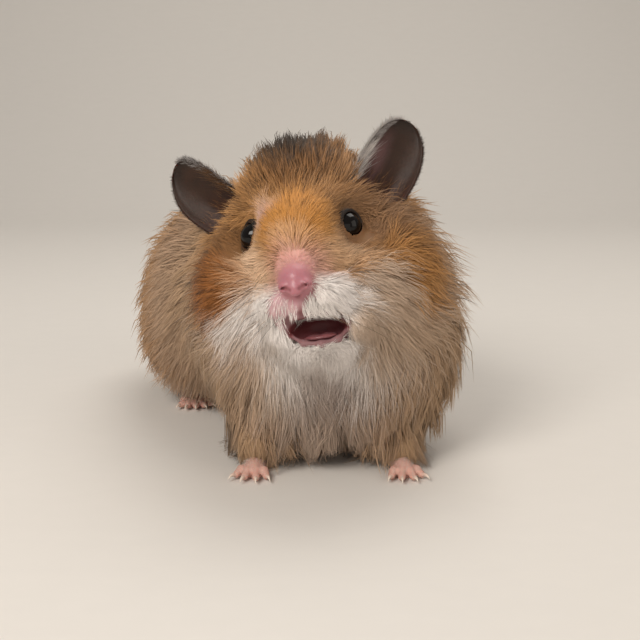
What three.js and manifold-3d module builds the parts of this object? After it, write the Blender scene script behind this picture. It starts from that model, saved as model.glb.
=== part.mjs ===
// A long-haired Syrian hamster at life size, standing on all fours with its head raised and turned a little.
// Every solid reaches out to the tips of the coat. Millimetres; +X is the animal's left, -Y its front, +Z up.
// The origin is on the floor, below the middle of the animal's bounding box.

import * as THREE from "three";
import { mergeVertices } from "three/addons/utils/BufferGeometryUtils.js";
import Module from "manifold-3d";

const wasm = await Module();
wasm.setup();

// ---------------------------------------------------------------- driving sizes
const EYE_HEIGHT = 58.5; // floor to the point midway between the eyes, which is the head's own origin
const HEAD_PITCH = -12; // degrees; the nose is lifted
const HEAD_ROLL = -8.5; // the animal's left ear is the higher one
const HEAD_YAW = -9; // the nose points a little to the animal's right
const CUT = 0.3; // gap left between neighbouring solids
const FLOOR_GAP = 1.2; // the belly coat stops this far above the floor

const EYE = { radius: 3.7, side: 9.8, back: 0.2, up: -0.5, outward: 52, upward: 12 };
const EAR = {
  left: { base: [15.2, 12.8, 5.5], tip: [27.1, 16, 21.6], outward: 31 }, // pricked
  right: { base: [-17.9, 14.3, 7.3], tip: [-32.4, 18.3, 20.7], outward: 38 }, // held lower and further back
  halfWidth: 7.7,
  cup: 3.2,
  thickness: 0.95,
};

const HIP = [-11, 70]; // on the floor plan, below the spine between the hind feet
const BODY_TURN = 19; // degrees; the trunk trails off to the animal's right behind the head

// ---------------------------------------------------------------- small vector helpers
const rad = THREE.MathUtils.degToRad;
const add = (a, b) => a.map((v, i) => v + b[i]);
const scaled = (a, s) => a.map((v) => v * s);

const toHead = new THREE.Matrix4()
  .makeRotationFromEuler(new THREE.Euler(rad(HEAD_PITCH), rad(HEAD_ROLL), rad(HEAD_YAW), "XYZ"))
  .setPosition(0, 0, EYE_HEIGHT);

// ---------------------------------------------------------------- fields: negative inside, in millimetres
const ellipsoid = (centre, radii) => (x, y, z) => {
  const [px, py, pz] = [x - centre[0], y - centre[1], z - centre[2]];
  const near = Math.hypot(px / radii[0], py / radii[1], pz / radii[2]);
  const slope = Math.hypot(px / radii[0] ** 2, py / radii[1] ** 2, pz / radii[2] ** 2);
  return slope < 1e-9 ? -Math.min(...radii) : (near * (near - 1)) / slope;
};

const taperedLimb = (from, to, fromRadius, toRadius) => (x, y, z) => {
  const run = to.map((v, i) => v - from[i]);
  const off = [x - from[0], y - from[1], z - from[2]];
  const along = off.reduce((s, v, i) => s + v * run[i], 0) / run.reduce((s, v) => s + v * v, 0);
  const t = Math.min(1, Math.max(0, along));
  const gap = Math.hypot(...off.map((v, i) => v - t * run[i]));
  return gap - (fromRadius + t * (toRadius - fromRadius));
};

// A soft union: neighbouring masses flow into each other over the given reach.
const merged = (reach, ...fields) => (x, y, z) =>
  fields
    .map((field) => field(x, y, z))
    .reduce((a, b) => {
      const overlap = Math.max(reach - Math.abs(a - b), 0) / reach;
      return Math.min(a, b) - (overlap * overlap * reach) / 4;
    });

const carved = (field, hollow, reach) => {
  const kept = (x, y, z) => -hollow(x, y, z);
  const negated = merged(reach, (x, y, z) => -field(x, y, z), (x, y, z) => -kept(x, y, z));
  return (x, y, z) => -negated(x, y, z);
};

const grown = (field, by) => (x, y, z) => field(x, y, z) - by;

// A mass of flesh with its coat: the radii of the flesh and the depth of hair that stands over it.
const coated = (centre, radii, coat) => ellipsoid(centre, radii.map((r) => r + coat));

// ---------------------------------------------------------------- from a field to a closed solid
// Grid lines from low to high: a fine step inside the fine range, a coarse one outside it.
function gridLines(low, high, fineLow, fineHigh, fine, coarse) {
  const lines = [];
  for (let v = low; v < high; v += v >= fineLow && v < fineHigh ? fine : coarse) lines.push(v);
  lines.push(high);
  return lines;
}

const evenGrid = (low, high, step) => low.map((v, i) => gridLines(v, high[i], v, high[i], step, step));

// The corners of a grid cell, its twelve edges as pairs of corners, and its faces as sets of corners.
const CORNERS = [0, 1, 2, 3, 4, 5, 6, 7].map((n) => [n & 1, (n >> 1) & 1, n >> 2]);
const EDGES = [1, 2, 4].flatMap((bit) => CORNERS.map((_, n) => [n, n | bit]).filter(([n]) => !(n & bit)));
const FACES = [0, 1, 2].flatMap((d) => [0, 1].map((end) => CORNERS.map((c) => c[d] === end)));

// Sorts the edges of a cell that the surface crosses into the separate sheets that pass through the cell.
// Where two sheets cross one face, each of them keeps to its own inner corner.
function sheetsOf(held) {
  const crossed = EDGES.map(([a, b]) => held[a] < 0 !== held[b] < 0);
  const sheet = EDGES.map((_, n) => n);
  const join = (m, n) => {
    const [kept, gone] = [sheet[m], sheet[n]];
    sheet.forEach((v, e) => v === gone && (sheet[e] = kept));
  };
  const inner = ([a, b]) => (held[a] < 0 ? a : b);
  for (const face of FACES) {
    const onFace = EDGES.map((_, n) => n).filter((n) => crossed[n] && EDGES[n].every((corner) => face[corner]));
    for (const m of onFace)
      for (const n of onFace)
        if (onFace.length === 2 || inner(EDGES[m]) === inner(EDGES[n])) join(m, n);
  }
  const groups = new Map();
  EDGES.forEach((_, n) => crossed[n] && groups.set(sheet[n], [...(groups.get(sheet[n]) ?? []), n]));
  return [...groups.values()];
}

// Each sheet of surface in a grid cell gets one point, moved onto the surface, and each crossed grid edge
// gets two triangles between the points of the four cells round it. With `by`, the same points are moved
// that far outside the surface, which makes a room that clears the plain form all round.
function surfaceOf(field, [xs, ys, zs], by = 0) {
  const count = [xs.length, ys.length, zs.length];
  const slot = (i, j, k) => (i * count[1] + j) * count[2] + k;
  const values = new Float64Array(count[0] * count[1] * count[2]);
  xs.forEach((x, i) => ys.forEach((y, j) => zs.forEach((z, k) => (values[slot(i, j, k)] = field(x, y, z)))));

  const outside = grown(field, by);
  const points = [];
  const pointOf = new Map();
  for (let i = 0; i < count[0] - 1; i++)
    for (let j = 0; j < count[1] - 1; j++)
      for (let k = 0; k < count[2] - 1; k++) {
        const held = CORNERS.map(([a, b, c]) => values[slot(i + a, j + b, k + c)]);
        if (held.every((v) => v < 0) || held.every((v) => v >= 0)) continue;
        const at = ([a, b, c]) => [
          xs[i] + a * (xs[i + 1] - xs[i]),
          ys[j] + b * (ys[j + 1] - ys[j]),
          zs[k] + c * (zs[k + 1] - zs[k]),
        ];
        for (const edges of sheetsOf(held)) {
          let sum = [0, 0, 0];
          for (const [a, b] of edges.map((n) => EDGES[n])) {
            const t = held[a] / (held[a] - held[b]);
            sum = add(sum, at(CORNERS[a].map((v, d) => v + t * (CORNERS[b][d] - v))));
          }
          edges.forEach((n) => pointOf.set(slot(i, j, k) * 12 + n, points.length / 3));
          points.push(...settled(outside, scaled(sum, 1 / edges.length)));
        }
      }

  const triangles = [];
  const steps = [[1, 0, 0], [0, 1, 0], [0, 0, 1]];
  for (let i = 0; i < count[0] - 1; i++)
    for (let j = 0; j < count[1] - 1; j++)
      for (let k = 0; k < count[2] - 1; k++)
        steps.forEach((step, d) => {
          const here = values[slot(i, j, k)] < 0;
          if (here === values[slot(i + step[0], j + step[1], k + step[2])] < 0) return;
          const [u, w] = [(d + 1) % 3, (d + 2) % 3];
          const round = [[0, 0], [1, 0], [1, 1], [0, 1]].map(([a, b]) => {
            const cell = slot(i - a * steps[u][0] - b * steps[w][0], j - a * steps[u][1] - b * steps[w][1],
              k - a * steps[u][2] - b * steps[w][2]);
            const corner = (a << u) | (b << w);
            return pointOf.get(cell * 12 + EDGES.findIndex(([m, n]) => m === corner && n === (corner | (1 << d))));
          });
          if (!here) round.reverse();
          triangles.push(round[0], round[1], round[2], round[0], round[2], round[3]);
        });
  return new wasm.Manifold(
    new wasm.Mesh({ numProp: 3, vertProperties: new Float32Array(points), triVerts: new Uint32Array(triangles) }),
  );
}

// Moves a point along the field's slope until it lies on the surface.
function settled(field, point) {
  const nudge = 0.05;
  for (let round = 0; round < 2; round++) {
    const value = field(...point);
    const slope = point.map((_, d) => {
      const ahead = point.map((v, e) => (e === d ? v + nudge : v));
      return (field(...ahead) - value) / nudge;
    });
    const steep = slope.reduce((s, v) => s + v * v, 0);
    if (steep > 0.05) point = point.map((v, d) => v - (0.8 * value * slope[d]) / steep);
  }
  return point;
}

// A three.js geometry as a solid that can be joined and cut.
function solid(geometry, matrix = new THREE.Matrix4()) {
  const bare = geometry.clone().applyMatrix4(matrix);
  bare.deleteAttribute("normal");
  bare.deleteAttribute("uv");
  const welded = mergeVertices(bare, 1e-4);
  return new wasm.Manifold(
    new wasm.Mesh({
      numProp: 3,
      vertProperties: new Float32Array(welded.attributes.position.array),
      triVerts: new Uint32Array(welded.index.array),
    }),
  );
}

const moved = (shape, matrix) => shape.transform([...matrix.elements]);

// The mesh of a finished solid. Corners that a cut leaves closer than WELD become one corner.
const WELD = 0.004;
function meshOf(name, shape, material) {
  const made = shape.getMesh();
  const kept = [];
  const cornerOf = Array.from({ length: made.numVert }, (_, i) => {
    const place = [...made.vertProperties.subarray(i * made.numProp, i * made.numProp + 3)];
    const near = kept.findIndex((other) => other.every((v, d) => Math.abs(v - place[d]) < WELD));
    return near < 0 ? kept.push(place) - 1 : near;
  });
  const triangles = [];
  for (let t = 0; t < made.triVerts.length; t += 3) {
    const [a, b, c] = [...made.triVerts.subarray(t, t + 3)].map((i) => cornerOf[i]);
    if (a !== b && b !== c && c !== a) triangles.push(a, b, c);
  }
  const geometry = new THREE.BufferGeometry()
    .setAttribute("position", new THREE.BufferAttribute(new Float32Array(kept.flat()), 3))
    .setIndex(triangles);
  const mesh = new THREE.Mesh(geometry, material);
  mesh.name = name;
  return mesh;
}

// ---------------------------------------------------------------- materials
const finish = (color, roughness) => new THREE.MeshStandardMaterial({ color, roughness, metalness: 0 });
const goldenCoat = finish(0xb9854f, 0.85);
const creamCoat = finish(0xd8c6ad, 0.85);
const earSkin = finish(0x4a3329, 0.7);
const noseSkin = finish(0xd08a86, 0.45);
const pawSkin = finish(0xd9a79a, 0.6);
const mouthSkin = finish(0x8f4a4c, 0.4);
const eyeGloss = finish(0x0b0908, 0.08);
const clawHorn = finish(0xcdbcae, 0.5);

// ---------------------------------------------------------------- head, in its own frame
const bothSides = (make) => [1, -1].map(make);

const headMasses = merged(
  5,
  coated([0, 15.5, 0.8], [16.5, 15.5, 15], 5), // cranium
  coated([0, 0.5, -3.5], [9.6, 12, 9], 2), // brow and root of the snout
  ...bothSides((side) => coated([side * 12.8, 8.5, -12], [10.5, 12.5, 11.2], 5.3)), // cheek
  coated([1, 8, -21], [14, 13, 10], 5.5), // throat and beard
);
const muzzle = merged(
  2.2,
  taperedLimb([0, -3, -6], [0, -13.2, -12], 9.6, 5.4),
  ...bothSides((side) => coated([side * 4.8, -11.4, -16.4], [4.2, 4.8, 3.9], 1)), // whisker pad
  coated([2, -3.5, -25.9], [6.8, 7.8, 3.5], 2), // lower jaw, pushed a little to one side
);

const MOUTH = { centre: [2.5, -12.8, -22.9], radii: [6, 6.5, 3] };
const mouthHollow = ellipsoid(MOUTH.centre, MOUTH.radii);

const eyeCentre = (side) => [side * EYE.side, EYE.back, EYE.up];
function eyeAxis(side) {
  const level = Math.cos(rad(EYE.upward));
  return [side * level * Math.sin(rad(EYE.outward)), -level * Math.cos(rad(EYE.outward)), Math.sin(rad(EYE.upward))];
}
// The coat is short round the eye, so the head dips there and leaves the front of the eyeball bare.
const DISH = { radius: 8, above: 1.3, reach: 2 };
const eyeDish = (side) => {
  const away = DISH.above + DISH.radius;
  return ellipsoid(add(eyeCentre(side), scaled(eyeAxis(side), away)), Array(3).fill(DISH.radius));
};

const headField = [eyeDish(1), eyeDish(-1)].reduce(
  (field, dish) => carved(field, dish, DISH.reach),
  carved(merged(3, headMasses, muzzle), mouthHollow, 0.8),
);
const headGrid = [
  gridLines(-36, 36, -14, 14, 3, 6.5),
  gridLines(-24, 42, -21, -1, 3, 6.5),
  gridLines(-46, 28, -29, 5, 3, 6.5),
];

const NOSE = { centre: [0.2, -16.7, -12.2], radii: [3.4, 2.9, 3.2], nostrilSide: 1.9 };
const noseForm = carved(
  merged(
    1,
    ellipsoid(NOSE.centre, NOSE.radii),
    ...bothSides((side) => ellipsoid(add(NOSE.centre, [side * 1.6, -1.3, -1.2]), [1.7, 1.5, 1.5])), // wing
  ),
  merged(
    0.2,
    ...bothSides((side) => ellipsoid(add(NOSE.centre, [side * NOSE.nostrilSide, -2.9, -1.1]), [0.85, 1, 0.5])),
  ),
  0.3,
);
const noseGrid = evenGrid([-5.5, -21.5, -15.5], [5.5, -12.5, -6.5], 1.05);

function nose() {
  return surfaceOf(noseForm, noseGrid);
}

function eyeball(side, by = 0) {
  const ball = new THREE.SphereGeometry(EYE.radius + by, 12, 8);
  return solid(ball, new THREE.Matrix4().makeTranslation(...eyeCentre(side)));
}

const TONGUE = { centre: [2.5, -8.8, -23.9], radii: [3.7, 4.6, 1] };
function tongue() {
  const blade = new THREE.SphereGeometry(1, 10, 5).scale(...TONGUE.radii);
  return solid(blade, new THREE.Matrix4().makeTranslation(...TONGUE.centre));
}

// A cupped ear: a paddle outline bent round its long axis, with an inner and an outer face.
function earShell(side, by = 0) {
  const ear = side > 0 ? EAR.left : EAR.right;
  const base = new THREE.Vector3(...ear.base);
  const long = new THREE.Vector3(...ear.tip).sub(base);
  const facing = new THREE.Vector3(side * Math.sin(rad(ear.outward)), -Math.cos(rad(ear.outward)), 0);
  facing.addScaledVector(long, -facing.dot(long) / long.lengthSq()).normalize();
  const across = new THREE.Vector3().crossVectors(long, facing).normalize();
  const [columns, rows] = [8, 6];
  const widest = 0.35; // share of the ear's length at which it is widest
  const paddle = (v) =>
    v < widest
      ? 0.94 + 0.06 * Math.sin((Math.PI / 2) * (v / widest))
      : Math.sqrt(Math.max(0.02, 1 - ((v - widest) / (1.03 - widest)) ** 2.3));
  const place = (u, v, back) => {
    const bend = EAR.cup * ((u * paddle(v)) ** 2 - 0.5);
    return base
      .clone()
      .addScaledVector(long, v)
      .addScaledVector(across, u * (EAR.halfWidth + by) * paddle(v))
      .addScaledVector(facing, bend - back);
  };
  const positions = [];
  for (const back of [-by, EAR.thickness + by])
    for (let row = 0; row <= rows; row++)
      for (let column = 0; column <= columns; column++) {
        const u = -1 + (2 * column) / columns;
        const v = Math.sin((Math.PI / 2) * (row / rows));
        positions.push(...place(u, v, back).toArray());
      }
  const at = (face, row, column) => (face * (rows + 1) + row) * (columns + 1) + column;
  const triangles = [];
  const quad = (a, b, c, d) => triangles.push(a, b, c, a, c, d);
  for (let row = 0; row < rows; row++)
    for (let column = 0; column < columns; column++) {
      quad(at(0, row, column), at(0, row, column + 1), at(0, row + 1, column + 1), at(0, row + 1, column));
      quad(at(1, row, column), at(1, row + 1, column), at(1, row + 1, column + 1), at(1, row, column + 1));
    }
  for (let row = 0; row < rows; row++) {
    quad(at(0, row, 0), at(0, row + 1, 0), at(1, row + 1, 0), at(1, row, 0));
    quad(at(0, row, columns), at(1, row, columns), at(1, row + 1, columns), at(0, row + 1, columns));
  }
  for (let column = 0; column < columns; column++) {
    quad(at(0, 0, column), at(1, 0, column), at(1, 0, column + 1), at(0, 0, column + 1));
    quad(at(0, rows, column), at(0, rows, column + 1), at(1, rows, column + 1), at(1, rows, column));
  }
  const shell = new THREE.BufferGeometry()
    .setAttribute("position", new THREE.BufferAttribute(new Float32Array(positions), 3))
    .setIndex(triangles);
  return solid(shell);
}

// ---------------------------------------------------------------- trunk, in the part's frame
const bodyAxis = [-Math.sin(rad(BODY_TURN)), Math.cos(rad(BODY_TURN))];
const bodySide = [Math.cos(rad(BODY_TURN)), Math.sin(rad(BODY_TURN))];
// A point given by how far it lies behind the hips, to the animal's left of them, and above the floor.
const fromHip = (behind, left, up) => [
  HIP[0] + behind * bodyAxis[0] + left * bodySide[0],
  HIP[1] + behind * bodyAxis[1] + left * bodySide[1],
  up,
];

const trunkMasses = merged(
  8,
  coated([5, 22, 44], [21, 17, 18], 8.5), // nape and sides of the neck
  coated([7.5, 19, 28], [23, 18, 18], 9.5), // breast
  coated([2, 37, 37], [26.5, 23, 24], 8.5), // shoulders
  coated([-7, 60, 35], [28, 26, 24], 8.5), // barrel
  coated([-17, 86, 31], [25, 24, 23], 7.5), // rump
  coated(fromHip(4, 18, 21), [11, 16, 14], 7), // left thigh
  coated(fromHip(4, -18, 21), [11, 16, 14], 7), // right thigh
);
// The neck is what lies above and ahead of a slanting cut from the throat up to the withers.
const NECK_CUT = { through: [2, 22, 50], slant: 45, block: [110, 100, 60] };
function neckBlock(by = 0) {
  const height = NECK_CUT.block[2] / 2 + by;
  const tilt = new THREE.Matrix4().makeRotationX(rad(NECK_CUT.slant)).setPosition(...NECK_CUT.through);
  const raised = new THREE.Matrix4().makeTranslation(0, 0, height - by);
  const [width, length] = NECK_CUT.block;
  return solid(new THREE.BoxGeometry(width, length, 2 * height), tilt.multiply(raised));
}

const TAIL = { root: fromHip(41, 0, 17), tip: fromHip(53, -1, 9), rootRadius: 4.2, tipRadius: 2 };

// ---------------------------------------------------------------- legs and feet
const FORE = {
  shoulder: (side) => [6 + side * 12, 20, 25],
  elbow: (side) => [6.5 + side * 16.5, 14, 14.5],
  wrist: (side) => [6.5 + side * 17, 6.5, 5.2],
  radii: [9.5, 7.5, 4.3],
};
const HIND = {
  knee: (side) => fromHip(-6, side * 20, 15),
  ankle: (side) => fromHip(8, side * 20.5, 6),
  radii: [9, 5.2],
};

const foreLeg = (side) =>
  merged(
    3,
    taperedLimb(FORE.shoulder(side), FORE.elbow(side), FORE.radii[0], FORE.radii[1]),
    taperedLimb(FORE.elbow(side), FORE.wrist(side), FORE.radii[1], FORE.radii[2]),
  );
const hindLeg = (side) => taperedLimb(HIND.knee(side), HIND.ankle(side), HIND.radii[0], HIND.radii[1]);

// A foot stands in a frame of its own: heel over the origin, toes toward -Y, sole on the floor.
const FOOT = {
  fore: {
    palm: { length: 4.5, halfWidth: 3.1, height: 4.4 },
    toes: { count: 4, length: 4.2, spread: 58, radius: 1.15 },
    heel: (side) => [FORE.wrist(side)[0], 5.5],
    turn: (side) => side * 8,
  },
  hind: {
    palm: { length: 12.5, halfWidth: 3.5, height: 4.6 },
    toes: { count: 5, length: 4.8, spread: 62, radius: 1.25 },
    heel: (side) => HIND.ankle(side).slice(0, 2),
    turn: (side) => BODY_TURN + side * 12,
  },
};
const footPlace = ({ heel, turn }, side) =>
  new THREE.Matrix4().makeRotationZ(rad(turn(side))).setPosition(...heel(side), 0);

// Directions on the floor: 0 degrees is straight ahead, and positive angles turn to the animal's left.
const heading = (degrees) => [Math.sin(rad(degrees)), -Math.cos(rad(degrees)), 0];

function toesOf({ palm, toes }) {
  return Array.from({ length: toes.count }, (_, n) => {
    const share = n / (toes.count - 1) - 0.5; // -0.5 to 0.5 across the foot
    const way = heading(share * toes.spread);
    const root = [share * 2 * (palm.halfWidth - toes.radius), -palm.length, toes.radius];
    const reach = toes.length * (1 - 0.9 * share * share);
    return { root, way, tip: add(root, scaled(way, reach)) };
  });
}

function footField(foot) {
  const { palm, toes } = foot;
  const low = [0, -0.5, palm.height * 0.42];
  const front = [0, -palm.length, palm.height * 0.3];
  return merged(
    0.9,
    taperedLimb(low, front, palm.halfWidth * 0.92, palm.halfWidth * 0.85),
    ...toesOf(foot).map(({ root, tip }) => {
      const knuckle = add(root, [0, 0, 0.5]);
      return taperedLimb(knuckle, tip, toes.radius, toes.radius * 0.86);
    }),
  );
}

function footSolid(foot, by = 0) {
  const { palm, toes } = foot;
  const front = -palm.length - toes.length - 3;
  const grid = [
    gridLines(-8.7, 8.7, -8.7, 8.7, 1.45, 1.45),
    gridLines(front, 6.5, front, -palm.length, 2.2, 4),
    gridLines(-4, 8, -4, 8, 2, 2),
  ];
  return surfaceOf(footField(foot), grid, by);
}

// The plain pocket that the coat and the leg above leave for a hind foot.
function footPocket({ palm, toes }) {
  const [halfWidth, behind, top] = [palm.halfWidth + 2.4, palm.halfWidth + 0.6, palm.height + 0.6];
  const length = behind + palm.length + toes.length + 3;
  const block = new THREE.BoxGeometry(2 * halfWidth, length, 2 * top);
  return solid(block, new THREE.Matrix4().makeTranslation(0, behind - length / 2, 0));
}

// A claw: a slender cone on the end of a toe, pointing ahead and a little down.
function claw({ tip, way }, by = 0) {
  const [radius, length, droop] = [0.55, 2.3, 0.2];
  const cone = new THREE.ConeGeometry(radius + by, length + 2 * by, 5, 1);
  const aim = new THREE.Vector3(...add(way, [0, 0, -droop])).normalize();
  const turn = new THREE.Quaternion().setFromUnitVectors(new THREE.Vector3(0, 1, 0), aim);
  const middle = new THREE.Vector3(...tip).addScaledVector(aim, 0.85 + length / 2);
  return solid(cone, new THREE.Matrix4().compose(middle, turn, new THREE.Vector3(1, 1, 1)));
}

const floorBlock = (top) =>
  solid(new THREE.BoxGeometry(400, 400, 100), new THREE.Matrix4().makeTranslation(0, 0, top - 50));

// ---------------------------------------------------------------- the whole animal
function limbGrid(points, reach, step) {
  const low = [0, 1, 2].map((d) => Math.min(...points.map((p) => p[d])) - reach);
  const high = [0, 1, 2].map((d) => Math.max(...points.map((p) => p[d])) + reach);
  return evenGrid(low, high, step);
}

function legSolid(kind, side, by = 0) {
  const fore = kind === "fore";
  const points = fore ? [FORE.shoulder(side), FORE.elbow(side), FORE.wrist(side)] : [HIND.knee(side), HIND.ankle(side)];
  const field = fore ? foreLeg(side) : hindLeg(side);
  return surfaceOf(field, limbGrid(points, 12, 5.8), by).subtract(floorBlock(FLOOR_GAP - by));
}

function build() {
  const group = new THREE.Group();
  const put = (name, shape, material) => group.add(meshOf(name, shape, material));

  const inFrame = (shape) => moved(shape, toHead);
  const headWhole = inFrame(surfaceOf(headField, headGrid));
  const headRoom = inFrame(surfaceOf(headField, headGrid, CUT));
  const noseRoom = inFrame(surfaceOf(noseForm, noseGrid, CUT));

  const shell = bothSides((side) => inFrame(earShell(side)));
  const earNodes = shell.map((ear) => largest(ear.subtract(headRoom)));
  const head = bothSides((side) => inFrame(eyeball(side, CUT))).reduce((rest, eye) => rest.subtract(eye), headWhole);
  put("head", largest(head.subtract(noseRoom)), goldenCoat);
  put("nose", inFrame(nose()), noseSkin);
  put("tongue", inFrame(tongue()).subtract(headRoom), mouthSkin);
  ["left", "right"].forEach((name, n) => {
    put("ear_" + name, earNodes[n], earSkin);
    put("eye_" + name, inFrame(eyeball(n ? -1 : 1)), eyeGloss);
  });

  const bodyGrid = evenGrid([-66, -22, -16], [58, 130, 88], 8.5);
  let body = surfaceOf(trunkMasses, bodyGrid).subtract(floorBlock(FLOOR_GAP)).subtract(headRoom);
  bothSides((side) => (body = body.subtract(inFrame(earShell(side, CUT)))));
  const tail = taperedLimb(TAIL.root, TAIL.tip, TAIL.rootRadius, TAIL.tipRadius);
  const tailGrid = limbGrid([TAIL.root, TAIL.tip], 6.5, 2.8);
  put("tail", surfaceOf(tail, tailGrid), creamCoat);
  body = body.subtract(surfaceOf(tail, tailGrid, CUT));

  for (const kind of ["fore", "hind"])
    ["left", "right"].forEach((name, n) => {
      const side = n ? -1 : 1;
      const onFloor = (shape) => moved(shape, footPlace(FOOT[kind], side));
      const footRoom = onFloor(kind === "fore" ? footSolid(FOOT[kind], CUT) : footPocket(FOOT[kind]));
      body = body.subtract(legSolid(kind, side, CUT)).subtract(footRoom);
      const leg = legSolid(kind, side).subtract(footRoom).subtract(headRoom);
      put(`${kind}leg_${name}`, largest(leg), creamCoat);
      const toes = toesOf(FOOT[kind]);
      const clawRoom = toes.map((toe) => claw(toe, CUT)).reduce((a, b) => a.add(b));
      const foot = footSolid(FOOT[kind]).subtract(floorBlock(0)).subtract(clawRoom);
      put(`${kind}foot_${name}`, largest(onFloor(foot)), pawSkin);
      toes.forEach((toe, t) => put(`${kind}claw_${name}_${t + 1}`, onFloor(claw(toe)), clawHorn));
    });

  put("neck", largest(body.intersect(neckBlock())), creamCoat);
  put("trunk", largest(body.subtract(neckBlock(CUT))), goldenCoat);
  return group;
}

// The biggest of the bodies that a cut leaves.
function largest(shape) {
  return shape.decompose().sort((a, b) => b.volume() - a.volume())[0];
}

const hamster = build();
const middle = new THREE.Box3().setFromObject(hamster).getCenter(new THREE.Vector3());
hamster.position.set(-middle.x, -middle.y, 0);

export default hamster;
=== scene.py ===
"""A long-haired Syrian hamster at life size, standing on all fours with its head raised and turned a little.

The flesh is one smooth skin grown from named masses, and the coat is built over it from thin tapered tufts
that follow the lie of the hair. Lengths are in millimetres in the animal's own frame (origin on the floor
below the midpoint of the eyes, +X its left, -Y its front) and turn into metres when a mesh is made.
"""

from __future__ import annotations

import logging
import math
from collections.abc import Callable, Iterable, Sequence
from dataclasses import dataclass, fields
from enum import Enum

import bpy
import numpy as np
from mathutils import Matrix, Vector
from mathutils.kdtree import KDTree


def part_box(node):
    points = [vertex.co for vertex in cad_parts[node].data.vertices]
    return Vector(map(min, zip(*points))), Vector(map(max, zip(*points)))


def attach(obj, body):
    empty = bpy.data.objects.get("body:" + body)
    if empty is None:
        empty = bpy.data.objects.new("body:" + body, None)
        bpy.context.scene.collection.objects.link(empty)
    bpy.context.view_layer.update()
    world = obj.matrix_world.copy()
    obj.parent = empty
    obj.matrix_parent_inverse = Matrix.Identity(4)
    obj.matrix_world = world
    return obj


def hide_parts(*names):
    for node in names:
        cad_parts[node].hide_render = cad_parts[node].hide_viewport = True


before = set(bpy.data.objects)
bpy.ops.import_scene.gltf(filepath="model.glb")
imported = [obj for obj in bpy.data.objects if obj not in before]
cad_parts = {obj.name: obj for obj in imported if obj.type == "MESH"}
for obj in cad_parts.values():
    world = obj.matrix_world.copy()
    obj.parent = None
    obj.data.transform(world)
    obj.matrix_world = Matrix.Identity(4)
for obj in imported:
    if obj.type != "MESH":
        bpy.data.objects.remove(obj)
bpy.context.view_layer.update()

log = logging.getLogger("hamster")
MM = 0.001

Array = np.ndarray
Triple = tuple[float, float, float]
Field = Callable[[Array], Array]
Inputs = dict[str | int, object]


# ---------------------------------------------------------------- small maths
def unit(vectors: Array) -> Array:
    """Scales vectors to length one.

    Args:
        vectors: Any array whose last axis holds x, y, z.

    Returns:
        The same array with unit lengths.
    """
    return vectors / np.maximum(np.linalg.norm(vectors, axis=-1, keepdims=True), 1e-9)


def ramp(low: float, high: float, value: Array) -> Array:
    """A smooth step from 0 at low to 1 at high, or falling where low is above high.

    Args:
        low: The value that gives 0.
        high: The value that gives 1.
        value: What is measured.

    Returns:
        The step's height for each value.
    """
    t = np.clip((value - low) / (high - low), 0.0, 1.0)
    return t * t * (3.0 - 2.0 * t)


def near(points: Array, centre: Sequence[float], radii: Sequence[float] | float, soft: float = 0.5) -> Array:
    """How far inside an ellipsoid each point lies, with a soft edge.

    Args:
        points: The points.
        centre: The ellipsoid's centre.
        radii: Its three radii, or one for a ball.
        soft: Share of the radius over which the edge fades.

    Returns:
        1 well inside, 0 outside.
    """
    reach = np.linalg.norm((points - np.asarray(centre)) / np.asarray(radii), axis=-1)
    return ramp(1.0 + soft / 2, 1.0 - soft / 2, reach)


def turned(pitch: float, roll: float, yaw: float) -> Array:
    """The rotation that turns about Z, then Y, then X.

    Args:
        pitch: Degrees about X.
        roll: Degrees about Y.
        yaw: Degrees about Z.

    Returns:
        A 3 by 3 matrix.
    """
    (cx, cy, cz), (sx, sy, sz) = (f(np.radians([pitch, roll, yaw])) for f in (np.cos, np.sin))
    about_x = np.array([[1, 0, 0], [0, cx, -sx], [0, sx, cx]])
    about_y = np.array([[cy, 0, sy], [0, 1, 0], [-sy, 0, cy]])
    about_z = np.array([[cz, -sz, 0], [sz, cz, 0], [0, 0, 1]])
    return about_x @ about_y @ about_z


class Noise:
    """Smooth random values through space, the same on every run."""

    SIZE = 32

    def __init__(self, seed: int, channels: int = 1) -> None:
        """Fills the lattice.

        Args:
            seed: Chooses the pattern.
            channels: How many independent values each point gets.
        """
        self.lattice = np.random.default_rng(seed).uniform(-1, 1, (self.SIZE,) * 3 + (channels,))

    def at(self, points: Array, size: float) -> Array:
        """Reads the noise.

        Args:
            points: Where, in millimetres.
            size: Distance between the lattice's points, in millimetres.

        Returns:
            One row of channels for each point, from -1 to 1.
        """
        place = points / size + 1000.0
        cell = np.floor(place).astype(int)
        t = place - cell
        t = t * t * (3 - 2 * t)
        total = 0.0
        for corner in range(8):
            bits = np.array([corner & 1, corner >> 1 & 1, corner >> 2])
            i, j, k = np.moveaxis((cell + bits) % self.SIZE, -1, 0)
            weight = np.prod(np.where(bits, t, 1 - t), axis=-1)
            total = total + self.lattice[i, j, k] * weight[..., None]
        return total


# ---------------------------------------------------------------- fields: negative inside, in millimetres
def ellipsoid(centre: Sequence[float], radii: Sequence[float]) -> Field:
    """The field of an ellipsoid.

    Args:
        centre: Its centre.
        radii: Its three radii.

    Returns:
        A field that is close to the true distance near the surface.
    """
    middle, size = np.asarray(centre, float), np.asarray(radii, float)

    def value(points: Array) -> Array:
        """Measures the distance, made even by the field's own slope.

        Args:
            points: The points.

        Returns:
            Their distances.
        """
        scaled = (points - middle) / size
        reach = np.linalg.norm(scaled, axis=-1)
        slope = np.linalg.norm(scaled / size, axis=-1)
        return reach * (reach - 1) / np.maximum(slope, 1e-6)

    return value


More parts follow.
